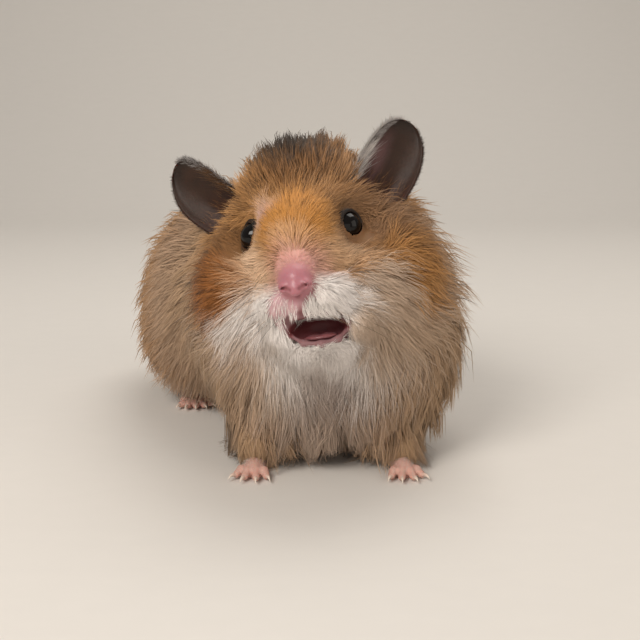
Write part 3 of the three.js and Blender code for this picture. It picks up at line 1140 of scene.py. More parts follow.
@dataclass
class Marks:
    """The colours at a set of points: at the roots and tips of the hair, and how often a tip is dark."""

    root: Array
    tip: Array
    ticking: Array

    def mixed(self, other: Marks, share: Array) -> Marks:
        """Turns these marks into others by a share.

        Args:
            other: The others.
            share: 0 for these marks, 1 for the others.

        Returns:
            The marks between them.
        """
        rows = share[:, None]
        root, tip = self.root * (1 - rows) + other.root * rows, self.tip * (1 - rows) + other.tip * rows
        return Marks(root, tip, self.ticking * (1 - share) + other.ticking * share)


@dataclass(frozen=True)
class Spot:
    """A soft spot of colour on the head, in its own frame."""

    shade: str
    centre: Triple
    radii: Triple
    share: float
    soft: float = 0.9

    def over(self, h: Array) -> tuple[str, Array]:
        """The spot's shade and how strongly it lies on each point."""
        return self.shade, near(h, self.centre, self.radii, self.soft) * self.share


SPOTS = (
    Spot("brown", (2.5, 8, 16), (8.5, 16, 11), 0.75),
    Spot("dark", (1.8, 8, 18.5), (6.0, 12, 7.4), 0.95),
    Spot("brown", (1, -3, 9), (12, 8, 5), 0.75),
    Spot("tan", (19, 0, 1.0), (12, 12, 13), 0.9),
    Spot("brown", (13.5, -4, -3.5), (5.5, 6, 5.5), 0.8),
    Spot("brown", (-18, 0, -3.0), (9, 9, 9), 0.9),
    Spot("peach", (-5.0, -8.4, 1.8), (3.6, 4.5, 3.8), 1.0, 1.0),
    Spot("lilac", (-5.2, -8.4, 1.4), (3.4, 4.0, 3.4), 0.6, 1.0),
    Spot("orange", (1.6, -11, 1.0), (5.8, 6, 7.0), 0.9),
    Spot("peach", (1.0, -14, -4.6), (3.0, 4, 3.0), 0.35),
    Spot("blush", (0, -15.6, -10.9), (6.6, 6.5, 5.2), 0.9, 1.0),
    Spot("peach", (-9.5, -9, -9.0), (6.0, 7, 6.4), 0.95, 0.8),
    Spot("peach", (9.5, -10, -9.0), (5.5, 7, 4.6), 0.5),
    Spot("rust", (-20.0, -4.0, -9.6), (7.5, 8, 6.0), 0.95, 0.8),
    Spot("orange", (23.0, -3.0, -12.0), (9, 10, 5.5), 0.45),
)
BELOW_EYE = (14.5, -3, -5)


class Markings:
    """The one source of the animal's markings and of the shade painted on the chest and under the chin, used
    by the skin and by every tuft.
    """

    def __init__(self, anatomy: Anatomy, shades: Shades) -> None:
        """Keeps the anatomy and makes the wavering that softens each border.

        Args:
            anatomy: The animal's forms.
            shades: Its colours.
        """
        self.anatomy = anatomy
        self.shades = {name: srgb(*value) for name, value in vars(shades).items()}
        self.waver = Noise(11, 3)
        self.head, self.trunk = anatomy.head_bulk(0.0), anatomy.trunk(0.0)

    def headness(self, points: Array) -> Array:
        """1 on the head, 0 on the trunk, between them at the neck."""
        return ramp(-2.5, 3.5, self.trunk(points) - self.head(self.anatomy.into_head(points)))

    def at(self, points: Array) -> Marks:
        """Reads the markings.

        Args:
            points: Points on or near the skin, in the animal's frame.

        Returns:
            Their colours.
        """
        points = points + 1.3 * self.waver.at(points, 3.5) + 2.2 * self.waver.at(points + 50, 11.0)
        head = self._head(self.anatomy.into_head(points))
        return self._trunk(points).mixed(head, self.headness(points))

    def laid(self, base: Array, layers: Iterable[tuple[str, Array]]) -> Array:
        """Lays shades over a colour, one after the other.

        Args:
            base: The colours below.
            layers: Names of shades and how strongly each lies on each point.

        Returns:
            The colours on top.
        """
        colour = base
        for name, share in layers:
            colour = colour + (self.shades[name] - colour) * np.clip(share, 0, 1)[:, None]
        return colour

    def _head(self, h: Array) -> Marks:
        """Reads the head's markings, with a greyish brown painted as shade under the chin.

        Args:
            h: Points of the head's frame.

        Returns:
            Their colours.
        """
        x, y, z = h.T
        side = np.abs(x)
        outside = ramp(12.5, 16.0, np.where(x > 0, x - 2.5, -x))
        border = -11.2 - np.where(x > 0, 5.6, 2.2) * outside - 2.5 * ramp(20, 26, side)
        low = ramp(border + 0.8, border - 2.6, z) * ramp(11, 3, y - 0.4 * side)
        layers = [
            *(spot.over(h) for spot in SPOTS),
            ("cream", ramp(4, 12, y) * ramp(13, 5, z) * ramp(15, 22, side) * 0.9),
            ("white", low * (1 - 0.3 * ramp(13, 22, side))),
            ("sand", low * ramp(7.6, 11.0, x) * ramp(-28, -19, z) * 0.7),
            ("cream", low * ramp(8, 13, x) * 0.45),
            ("cream", low * ramp(-8, -13, x) * ramp(-15, -20, z) * 0.7),
            ("sand", low * ramp(-17, -21, x) * 0.7),
            ("sand", ramp(5, 12, np.abs(x - 2)) * ramp(-17, -24, z) * np.where(x > 0, 0.45, 0.65)),
            # painted shade: a greyish brown low on the head, under the chin
            ("taupe", ramp(-27, -33, z) * 0.85),
            ("lid", 0.35 * np.clip(self.anatomy.by_eyes(h, 4.4, 0.25), 0, 1)),
        ]
        tip = self.laid(np.tile(self.shades["gold"], (len(h), 1)), layers)
        crown = near(h, (0, 9, 17), (14, 15, 10), 0.8)
        root = tip * (0.74 - 0.15 * crown + 0.12 * low)[:, None]
        ticking = np.clip(near(h, (1.5, 8, 17), (8, 13, 9), 0.9) + 0.3 * crown, 0, 1)
        ticking = ticking + 0.25 * near(h, (-23, 4, -9), (8, 9, 10), 0.6)
        ticking = ticking + 0.25 * near(h, (0, -2, 10), (13, 8, 6), 0.9)
        return Marks(root, tip, (ticking + 0.06 + 0.2 * near(h, BELOW_EYE, (5, 6, 5), 0.9)) * (1 - low))

    def _trunk(self, points: Array) -> Marks:
        """Reads the markings of the trunk, legs and tail, with shade painted on the chest: a greyish brown
        over it and darker roots low on it.

        Args:
            points: Points of the animal's frame.

        Returns:
            Their colours.
        """
        x, y, z = points.T
        side = np.abs(x - 6.0)
        chest, top = ramp(44, 20, y), ramp(44, 60, z)
        along = (points - self.anatomy.from_hip(0, 0, 0)) @ self.anatomy.back_way
        layers = [
            ("gold", ramp(-22, 0, along) * 0.8),
            ("tan", ramp(-40, -20, along) * 0.3),
            ("brown", top * ramp(-45, -10, along) * 0.45),
            ("gold", top * ramp(-10, -45, along) * 0.35),
            # painted shade: a greyish brown over the chest, which the head shades
            ("taupe", chest * 0.25),
            ("sand", chest * ramp(11, 20, side) * 0.6),
            ("white", chest * ramp(12, 4, side) * ramp(10, 22, z) * 0.2),
            ("sand", ramp(18, 8, z) * ramp(9, 14, side) * chest * 0.4),
            ("white", ramp(20, 8, z) * ramp(20, 40, y) * 0.6),
        ]
        tip = self.laid(np.tile(self.shades["cream"], (len(points), 1)), layers)
        # painted shade: roots low on the chest are darker still, standing for the shade in the gaps between
        # its locks
        root = tip * (0.64 - 0.42 * chest * ramp(42, 24, z))[:, None]
        return Marks(root, tip, 0.35 * top * ramp(-40, 0, along))


# ---------------------------------------------------------------- Blender helpers
class Placement:
    """Stands the animal in the part's frame and turns its millimetres into metres."""

    def __init__(self, anatomy: Anatomy) -> None:
        """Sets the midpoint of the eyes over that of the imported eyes.

        Args:
            anatomy: The animal's forms.
        """
        head = anatomy.head_sizes
        boxes = [np.array(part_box(f"eye_{side.word}")) for side in Side]
        packed = np.mean([box.mean(axis=0) for box in boxes], axis=0) / MM
        built = anatomy.out_of_head((0, head.eye_back, head.eye_up))
        self.shift = np.append((packed - built)[:2], 0.0)

    def metres(self, points: Array) -> Array:
        """Points of the animal's frame as the part's metres."""
        return (np.asarray(points) + self.shift) * MM

    def piece(self, name: str, points: Array, faces: Array, material: bpy.types.Material) -> bpy.types.Object:
        """Makes a smooth mesh piece that rides on the part's one body.

        Args:
            name: The piece's name.
            points: Its points in the animal's frame.
            faces: Its faces, all with the same number of corners.
            material: Its finish.

        Returns:
            The object, linked into the scene.
        """
        count, corners = faces.shape
        mesh = bpy.data.meshes.new(name)
        mesh.vertices.add(len(points))
        mesh.vertices.foreach_set("co", self.metres(points).astype(np.float32).ravel())
        mesh.loops.add(count * corners)
        mesh.loops.foreach_set("vertex_index", faces.astype(np.int32).ravel())
        mesh.polygons.add(count)
        mesh.polygons.foreach_set("loop_start", np.arange(0, count * corners, corners, dtype=np.int32))
        mesh.update(calc_edges=True)
        mesh.shade_smooth()
        mesh.materials.append(material)
        piece = bpy.data.objects.new(name, mesh)
        bpy.context.scene.collection.objects.link(piece)
        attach(piece, "root")
        return piece


def dress(piece: bpy.types.Object, **layers: Array | float) -> None:
    """Stores numbers or scene-linear colours on the points of a piece's mesh.

    Args:
        piece: The piece.
        layers: For each attribute, rows of colours, or a number for each point or for all.
    """
    count = len(piece.data.vertices)
    for name, values in layers.items():
        if np.ndim(values) == 2:
            full = np.ones((count, 4), np.float32)
            full[:, :3] = values
            piece.data.attributes.new(name, "FLOAT_COLOR", "POINT").data.foreach_set("color", full.ravel())
        else:
            full = np.full(count, values, np.float32)
            piece.data.attributes.new(name, "FLOAT", "POINT").data.foreach_set("value", full)


class Nodes:
    """A short way to write shader nodes."""

    def __init__(self, tree: bpy.types.NodeTree) -> None:
        """Works on one node tree.

        Args:
            tree: A material's or a group's nodes.
        """
        self.tree = tree

    def feed(self, socket: bpy.types.NodeSocket, value: object) -> None:
        """Gives an input a constant or links an output to it.

        Args:
            socket: The input.
            value: A number, a colour or an output.
        """
        if isinstance(value, bpy.types.NodeSocket):
            self.tree.links.new(value, socket)
        else:
            socket.default_value = value

    def fill(self, node: bpy.types.Node, values: Inputs) -> bpy.types.Node:
        """Feeds several inputs of a node, picked by name or number.

        Args:
            node: The node.
            values: What each input gets.

        Returns:
            The node.
        """
        for key, value in values.items():
            self.feed(node.inputs[key], value)
        return node

    def add(self, kind: str, values: Inputs | None = None, **settings: object) -> bpy.types.Node:
        """Adds a node.

        Args:
            kind: Its type.
            values: What its inputs get.
            settings: Its properties.

        Returns:
            The node.
        """
        node = self.tree.nodes.new(kind)
        for key, value in settings.items():
            setattr(node, key, value)
        return self.fill(node, values or {})

    def attribute(self, name: str, output: str = "Fac") -> bpy.types.NodeSocket:
        """One of the mesh's own values."""
        return self.add("ShaderNodeAttribute", attribute_name=name).outputs[output]

    def noise(self, scale: float) -> bpy.types.NodeSocket:
        """A fine noise."""
        return self.add("ShaderNodeTexNoise", {"Scale": scale}).outputs["Fac"]

    def maths(self, operation: str, *values: object) -> bpy.types.NodeSocket:
        """A sum whose inputs are numbers or outputs."""
        return self.add("ShaderNodeMath", dict(enumerate(values)), operation=operation).outputs[0]

    def step(self, value: bpy.types.NodeSocket, low: float, high: float) -> bpy.types.NodeSocket:
        """A smooth step from 0 at low to 1 at high."""
        values = {"Value": value, "From Min": low, "From Max": high}
        return self.add("ShaderNodeMapRange", values, interpolation_type="SMOOTHSTEP").outputs["Result"]

    def mix(self, share: object, first: object, second: object, blend: str = "MIX") -> bpy.types.NodeSocket:
        """Mixes two colours; 0, 6, 7 and 2 are the numbers of the colour mix's own sockets."""
        values = {0: share, 6: first, 7: second}
        return self.add("ShaderNodeMix", values, data_type="RGBA", blend_type=blend).outputs[2]

    def bump(self, height: bpy.types.NodeSocket, strength: float) -> bpy.types.NodeSocket:
        """A normal raised by a tenth of a millimetre at most."""
        values = {"Strength": strength, "Distance": 0.0001, "Height": height}
        return self.add("ShaderNodeBump", values).outputs["Normal"]


# ---------------------------------------------------------------- finishes
class SharedEffects:
    """The shader node groups that more than one finish uses."""

    hair_noise = 900.0

    def __init__(self) -> None:
        """Builds the groups once."""
        self.hair_colour = self._hair_colour()
        self.skin_grain = self._skin_grain()

    @staticmethod
    def _group(
        name: str, inputs: dict[str, str], outputs: dict[str, str]
    ) -> tuple[Nodes, bpy.types.Node, bpy.types.Node]:
        """Starts a shader node group with its sockets.

        Args:
            name: The group's name.
            inputs: Names and kinds of its inputs.
            outputs: Names and kinds of its outputs.

        Returns:
            The group's nodes, its Group Input and its Group Output.
        """
        tree = bpy.data.node_groups.new(name, "ShaderNodeTree")
        for way, sockets in (("INPUT", inputs), ("OUTPUT", outputs)):
            for label, kind in sockets.items():
                tree.interface.new_socket(label, in_out=way, socket_type=f"NodeSocket{kind}")
        nodes = Nodes(tree)
        return nodes, nodes.add("NodeGroupInput"), nodes.add("NodeGroupOutput")

    def _hair_colour(self) -> bpy.types.NodeTree:
        """Colours a hair along its length: shaded root, clear length, sometimes a dark tip.

        Returns:
            The group.
        """
        colours = dict.fromkeys(("Root", "Tip", "Dark"), "Color")
        numbers = dict.fromkeys(("Along", "Tick", "Tint"), "Float")
        nodes, source, target = self._group("hair_colour", colours | numbers, {"Color": "Color"})
        given = source.outputs
        length = nodes.mix(nodes.step(given["Along"], 0.0, 0.55), given["Root"], given["Tip"])
        dark = nodes.maths("MULTIPLY", nodes.step(given["Along"], 0.4, 0.8), given["Tick"])
        ticked = nodes.mix(dark, length, given["Dark"])
        level = nodes.maths("MULTIPLY_ADD", nodes.noise(self.hair_noise), 0.22, 0.89)
        bright = nodes.maths("MULTIPLY", level, given["Tint"])
        scaled = nodes.add("ShaderNodeVectorMath", {0: ticked, "Scale": bright}, operation="SCALE")
        nodes.fill(target, {"Color": scaled.outputs[0]})
        return nodes.tree

    def _skin_grain(self) -> bpy.types.NodeTree:
        """Draws pores and creases: a height for bump and a mottle for colour.

        Returns:
            The group.
        """
        outputs = {"Height": "Float", "Mottle": "Float"}
        nodes, source, target = self._group("skin_grain", {"Scale": "Float"}, outputs)
        place, scale = nodes.add("ShaderNodeTexCoord").outputs["Object"], source.outputs["Scale"]
        pores = {"Vector": place, "Scale": scale, "Smoothness": 0.4}
        pores = nodes.add("ShaderNodeTexVoronoi", pores, feature="SMOOTH_F1").outputs["Distance"]
        creases = {"Vector": place, "Scale": nodes.maths("MULTIPLY", scale, 0.35), "Detail": 4.0}
        creases = nodes.add("ShaderNodeTexNoise", creases).outputs["Fac"]
        height = nodes.maths("ADD", pores, nodes.maths("MULTIPLY", creases, 0.8))
        nodes.fill(target, {"Height": height, "Mottle": creases})
        return nodes.tree


@dataclass(frozen=True)
class Finish:
    """What every finish has: a name and a way to feed its shader."""

    name: str

    def shader_values(self, nodes: Nodes) -> Inputs:
        """What the shader's inputs get, which each finish says for itself."""
        raise NotImplementedError

    def material(self) -> bpy.types.Material:
        """Builds the material.

        Returns:
            The material.
        """
        material = bpy.data.materials.new(self.name)
        material.use_nodes = True
        nodes = Nodes(material.node_tree)
        nodes.fill(material.node_tree.nodes["Principled BSDF"], self.shader_values(nodes))
        return material


@dataclass(frozen=True)
class HairFinish(Finish):
    """Hair, coloured along its length from the markings."""

    effects: SharedEffects
    dark: Triple
    roughness: float = 0.55
    sheen: float = 0.05

    def shader_values(self, nodes: Nodes) -> Inputs:
        """Places the hair's own nodes.

        Args:
            nodes: The material's nodes.

        Returns:
            What the shader's inputs get.
        """
        values = {label: nodes.attribute(f"{label.lower()}_colour", "Color") for label in ("Root", "Tip")}
        values |= {label: nodes.attribute(label.lower()) for label in ("Along", "Tick", "Tint")}
        values["Dark"] = (*srgb(*self.dark), 1.0)
        hair = nodes.add("ShaderNodeGroup", values, node_tree=self.effects.hair_colour)
        return {
            "Base Color": hair.outputs["Color"],
            "Roughness": self.roughness,
            "Specular IOR Level": 0.25,
            "Sheen Weight": self.sheen,
            "Sheen Roughness": 0.5,
        }


@dataclass(frozen=True)
class SkinFinish(Finish):
    """Living skin: mottled, grained, and glossier where it is wet."""

    effects: SharedEffects
    scale: float = 1600.0
    bump: float = 0.35
    dry: float = 0.55
    wet: float = 0.22
    deep: tuple[float, ...] = (0.5, 0.3, 0.28, 1.0)

    def shader_values(self, nodes: Nodes) -> Inputs:
        """Places the skin's own nodes.

        Args:
            nodes: The material's nodes.

        Returns:
            What the shader's inputs get.
        """
        grain = nodes.add("ShaderNodeGroup", {}, node_tree=self.effects.skin_grain)
        grain.inputs["Scale"].default_value = self.scale
        paint, wet = nodes.attribute("paint", "Color"), nodes.attribute("wet")
        deep = nodes.mix(0.5, paint, self.deep, "MULTIPLY")
        share = nodes.maths("MULTIPLY", grain.outputs["Mottle"], 0.35)
        return {
            "Base Color": nodes.mix(share, paint, deep),
            "Roughness": nodes.maths("MULTIPLY_ADD", wet, self.wet - self.dry, self.dry),
            "Coat Weight": wet,
            "Coat Roughness": 0.18,
            "Specular IOR Level": 0.35,
            "Subsurface Weight": 0.25,
            "Subsurface Radius": (1.0, 0.35, 0.25),
            "Subsurface Scale": 0.0008,
            "Normal": nodes.bump(grain.outputs["Height"], self.bump),
        }


@dataclass(frozen=True)
class EyeFinish(Finish):
    """A dark wet eye with a faint brown iris."""

    name: str = "eye_wet_black"
    deep: Triple = (7, 5, 5)
    iris: Triple = (16, 11, 9)
    streaks: float = 1500.0

    def shader_values(self, nodes: Nodes) -> Inputs:
        """Places the eye's own nodes.

        Args:
            nodes: The material's nodes.

        Returns:
            What the shader's inputs get.
        """
        share = nodes.maths("MULTIPLY", nodes.attribute("iris"), nodes.noise(self.streaks))
        return {
            "Base Color": nodes.mix(share, (*srgb(*self.deep), 1.0), (*srgb(*self.iris), 1.0)),
            "Roughness": 0.06,
            "Specular IOR Level": 0.2,
            "Coat Weight": 0.15,
            "Coat Roughness": 0.02,
        }


@dataclass(frozen=True)
class HornFinish(Finish):
    """Pale translucent claw horn, streaked along its length."""

    name: str = "claw_pale_horn"
    root: Triple = (206, 160, 146)
    tip: Triple = (232, 220, 204)
    streaks: float = 2200.0

    def shader_values(self, nodes: Nodes) -> Inputs:
        """Places the horn's own nodes.

        Args:
            nodes: The material's nodes.

        Returns:
            What the shader's inputs get.
        """
        streaks = nodes.noise(self.streaks)
        share = nodes.maths("MULTIPLY_ADD", streaks, 0.3, nodes.attribute("along"))
        return {
            "Base Color": nodes.mix(share, (*srgb(*self.root), 1.0), (*srgb(*self.tip), 1.0)),
            "Roughness": 0.35,
            "Normal": nodes.bump(streaks, 0.2),
        }


@dataclass(frozen=True)
class StudioFinish(Finish):
    """The matt pale paper of the floor and backdrop."""

    name: str = "studio_paper"
    colour: Triple = (222, 218, 212)
    fibre: float = 400.0

    def shader_values(self, nodes: Nodes) -> Inputs:
        """Places the paper's own nodes.

        Args:
            nodes: The material's nodes.

        Returns:
            What the shader's inputs get.
        """
        pale = srgb(*self.colour)
        tone = nodes.mix(nodes.noise(self.fibre), (*pale * 0.97, 1.0), (*pale, 1.0))
        return {"Base Color": tone, "Roughness": 0.85}


# ---------------------------------------------------------------- the skin
class Skin:
    """The one skin of the whole animal, with lids, lips, nose, ears and feet."""

    FLESH = ("head", "neck", "trunk", "tail", "nose")
    PAIRS = ("ear", "foreleg", "forefoot", "hindleg", "hindfoot")
    LATTICE = Lattice((0, -8, 52), (-97, -64, -97), (94, 142, 78), 0.32, 1.7, 53, 50)

    def __init__(self, anatomy: Anatomy, markings: Markings, placement: Placement) -> None:
        """Draws the surfaces.

        Args:
            anatomy: The animal's forms.
            markings: Its colours.
            placement: Where the part stands.
        """
        self.anatomy, self.markings, self.placement = anatomy, markings, placement
        self.body = surface_of(anatomy.skin(), self.LATTICE)
        self.ears = [Ear(sizes) for sizes in EARS]
        self.feet = feet_of(anatomy)

    def _body_paint(self) -> tuple[Array, Array]:
        """Paints the body, with shade painted in the nostrils, the groove below the nose and the top of the
        mouth.

        Returns:
            The colour and the wetness of each point.
        """
        anatomy = self.anatomy
        h = anatomy.into_head(self.body.points)
        gap, lip = anatomy.mouth()(h), anatomy.lower_lip()(h)
        nose = near(h, (0.2, -18.2, -13.2), (4.4, 4.1, 4.2), 0.8)
        inside = anatomy.mouth_room(h) * ramp(-0.1, 0.5, lip)
        layers = [
            ("blush", 0.95 * near(h, (0.1, -15.2, -10.2), (6.2, 6.6, 6.6), 0.9)),
            ("pink", 0.6 * near(h, (0.1, -17.2, -12.0), (5.6, 5.0, 5.4), 0.9)),
            ("lilac", near(h, (-3.2, -15.6, -18.2), (5.4, 5.2, 5.4), 0.5)),
            ("lilac", 0.4 * near(h, (4, -16, -17.4), (5, 3.4, 4.4), 0.6)),
            ("pink", nose * 0.95),
            ("lip", ramp(-1, -3, h[:, 1]) * ramp(1.4, 0.4, np.minimum(lip, gap))),
            ("lip", anatomy.mouth_wall(h)),
            ("mouth", inside),
            # the darker red of the mouth's back, and painted shade under the upper lip at the top of the
            # hollow
            ("throat", inside * ramp(-24.6, -22.6, h[:, 2])),
            # painted shade in the groove from the nose down to the mouth
            ("throat", 0.95 * ramp(0.6, 0.1, anatomy.groove()(h))),
        ]
        for side in Side:
            # painted shade inside the nostril slits
            layers.append(("throat", ramp(0.25, -0.05, anatomy.nostril(side)(h)) * 0.8))
            layers.append(("lid", ramp(0.7, 0.1, anatomy.lid(side)(h))))
        colour = self.markings.laid(self.markings.at(self.body.points).root, layers)
        return colour, np.clip(0.25 * nose + 0.06 * inside, 0, 1)

    def _ear_paint(self, ear: Ear, points: Array) -> Array:
        """Paints an ear.

        Args:
            ear: The ear.
            points: Its points in the head's frame.

        Returns:
            The colour of each point.
        """
        u, v, back = ear.grid()
        layers = [
            ("ear_root", ramp(0.55, 0.1, v)),
            ("ear_rim", ramp(0.75, 1.0, v) + back * 0.5),
        ]
        if ear.sizes.side is Side.LEFT:
            layers.append(("lip", ramp(0.55, 0.1, np.hypot((u + 0.5) / 1.1, v - 0.38)) * (1 - back) * 0.5))
        tone = self.markings.laid(self.markings.shades["ear_hollow"], layers)
        return tone * (1 + 0.22 * self.markings.waver.at(points, 2.4)[:, :1])

    def build(self, finish: SkinFinish) -> bpy.types.Object:
        """Makes the skin.

        Args:
            finish: Its finish.

        Returns:
            The piece, standing for the flesh nodes.
        """
        colour, wet = self._body_paint()
        surfaces, paints = [self.body], [colour]
        for ear in self.ears:
            surface = ear.surface()
            surfaces.append(surface.moved(self.anatomy.out_of_head))
            paints.append(self._ear_paint(ear, surface.points))
        for foot in self.feet:
            surfaces.append(foot.surface())
            paints.append(np.tile(self.markings.shades["paw"], (len(surfaces[-1].points), 1)))
        whole = joined(surfaces)
        piece = self.placement.piece("skin", whole.points, whole.faces, finish.material())
        dress(piece, paint=np.concatenate(paints), wet=np.pad(wet, (0, len(whole.points) - len(wet))))
        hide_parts(*self.FLESH, *(f"{name}_{side.word}" for name in self.PAIRS for side in Side))
        return piece


# ---------------------------------------------------------------- eyes, tongue, claws, whiskers
@dataclass(frozen=True)
class Eyes:
    """The two eyeballs, each with a low cornea."""

    anatomy: Anatomy
    placement: Placement
    cornea: float = 0.28
    cornea_reach: float = 0.72
    columns: int = 56
    rows: int = 36

    def build(self, side: Side, finish: EyeFinish) -> bpy.types.Object:
        """Makes one eye.

        Args:
            side: Which eye.
            finish: Its finish.

        Returns:
            The piece, standing for the eye's node.
        """
        axis, long, short = self.anatomy.lid_frame(side)
        angle = np.linspace(0, np.pi, self.rows + 1)[1:-1, None]
        turn = np.linspace(0, 2 * np.pi, self.columns, endpoint=False)[None, :]
        rings = np.broadcast_arrays(np.sin(angle) * np.cos(turn), np.sin(angle) * np.sin(turn), np.cos(angle))
        ball = np.concatenate([[[0, 0, 1.0]], np.stack(rings, -1).reshape(-1, 3), [[0, 0, -1.0]]])
        bulge = self.cornea * ramp(self.cornea_reach, 1.0, ball[:, 2])
        local = ball * (self.anatomy.head_sizes.eye_radius + bulge)[:, None]
        head = self.anatomy.eye_centre(side) + local @ np.stack([long, short, axis])
        points = self.anatomy.out_of_head(head)
        name = f"eye_{side.word}"
        piece = self.placement.piece(f"{name}_ball", points, self._faces(), finish.material())
        dress(piece, iris=ramp(0.55, 0.8, ball[:, 2]) * ramp(0.995, 0.93, ball[:, 2]))
        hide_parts(name)
        return piece

    def _faces(self) -> Array:
        """Closes the ball between its rings and its two poles.

        Returns:
            Triangles that face outward.
        """
        n, last = self.columns, 1 + self.columns * (self.rows - 1)
        here = np.arange(n)
        after = (here + 1) % n
        faces = [np.stack([np.zeros(n, int), 1 + here, 1 + after], 1)]
        for row in range(self.rows - 2):
            a, b = 1 + row * n, 1 + (row + 1) * n
            faces.append(np.stack([a + here, b + here, b + after], 1))
            faces.append(np.stack([a + here, b + after, a + after], 1))
        faces.append(np.stack([last - n + here, np.full(n, last), last - n + after], 1))
        return np.concatenate(faces)


@dataclass(frozen=True)
class Tongue:
    """The tip of the tongue, with a shallow groove."""

    anatomy: Anatomy
    placement: Placement
    centre: Triple = (2.6, -9.6, -24.5)
    radii: Triple = (3.7, 3.2, 0.9)

    def build(self, finish: SkinFinish, colour: Array) -> bpy.types.Object:
        """Makes the tongue.

        Args:
            finish: Its finish.
            colour: Its colour.

        Returns:
            The piece, standing for the tongue's node.
        """
        x, y, z = self.centre
        groove = limb((x, y - 5, z + 1.4), (x, y + 3, z + 1.4), 0.7, 0.7)
        form = carved(ellipsoid(self.centre, self.radii), groove, 0.8)
        surface = surface_of(form, Lattice(self.centre, (-16, -19, -7), (16, 19, 7), 0.28, 0.28))
        points = self.anatomy.out_of_head(surface.points)
        piece = self.placement.piece("tongue_tip", points, surface.faces, finish.material())
        dress(piece, paint=colour[None], wet=0.4)
        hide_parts("tongue")
        return piece


def tubes(paths: Array, radii: Array, normals: Array, sides: int, spin: Array) -> tuple[Array, Array]:
    """Closed tapered bars that run along paths and end in a point.

    Args:
        paths: Points along each bar, as bars by rings and a tip by 3.
        radii: The radius of each ring, as bars by rings.
        normals: A direction for each bar that isn't along it.
        sides: How many sides a bar has.
        spin: How far each bar's corners are turned.

    Returns:
        Points and triangles, bar after bar.
    """
    count, rings = radii.shape
    ways = unit(np.gradient(paths, axis=1)[:, :-1])
    across = unit(np.cross(ways, normals[:, None]))
    other = np.cross(ways, across)
    turn = spin[:, None, None] + np.arange(sides) * 2 * np.pi / sides
    ring = np.cos(turn)[..., None] * across[:, :, None] + np.sin(turn)[..., None] * other[:, :, None]
    ring = paths[:, :-1, None] + ring * radii[:, :, None, None]
    points = np.concatenate([ring.reshape(count, -1, 3), paths[:, -1:]], axis=1)
    here = np.arange(sides)
    after = (here + 1) % sides
    faces = [np.stack([np.zeros(sides - 2, int), 1 + here[: sides - 2], 2 + here[: sides - 2]], 1)]
    for r in range(rings - 1):
        a, b = r * sides, (r + 1) * sides
        faces.append(np.stack([a + here, b + after, b + here], 1))
        faces.append(np.stack([a + here, a + after, b + after], 1))
    a, tip = (rings - 1) * sides, rings * sides
    faces.append(np.stack([a + here, a + after, np.full(sides, tip)], 1))
    starts = np.arange(count) * (tip + 1)
    return points.reshape(-1, 3), (np.concatenate(faces)[None] + starts[:, None, None]).reshape(-1, 3)


def on_corners(values: Array, sides: int) -> Array:
    """Repeats what runs along one tube, ring by ring and then its tip, for each of its points."""
    return np.concatenate([np.repeat(values[:-1], sides, axis=0), values[-1:]])


@dataclass(frozen=True)
class Claws:
    """Every claw: a slender curved cone on the end of each toe."""

    placement: Placement
    length: float = 2.4
    radius: float = 0.5
    start: float = 0.6
    rings: int = 7
    sides: int = 8

    def build(self, feet: Sequence[Foot], finish: HornFinish) -> bpy.types.Object:
        """Makes the claws.

        Args:
            feet: The feet that carry them.
            finish: Their finish.

        Returns:
            The piece, standing for all the claw nodes.
        """
        s = np.linspace(0, 1, self.rings + 1)
        arch = np.stack([0 * s, 0 * s, 0.35 * np.sin(s * np.pi * 0.8) - 0.75 * s * s], 1)
        paths, names = [], []
        for index, foot in enumerate(feet):
            for number, toe in enumerate(foot.toes(), 1):
                line = toe.tip + toe.way * (self.start + s[:, None] * self.length) + arch
                paths.append(foot.placed(line + (0, 0, 0.1)))
                names.append(f"{foot.sizes.name}claw_{list(Side)[index // 2].word}_{number}")
        count = len(paths)
        radii = np.tile(self.radius * (1 - s[:-1] ** 1.6), (count, 1))
        up = np.tile([0.0, 0.0, 1.0], (count, 1))
        points, faces = tubes(np.array(paths), radii, up, self.sides, np.zeros(count))
        points[:, 2] = np.maximum(points[:, 2], 0.05)
        piece = self.placement.piece("claws", points, faces, finish.material())
        dress(piece, along=np.tile(on_corners(s, self.sides), count))
        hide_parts(*names)
        return piece


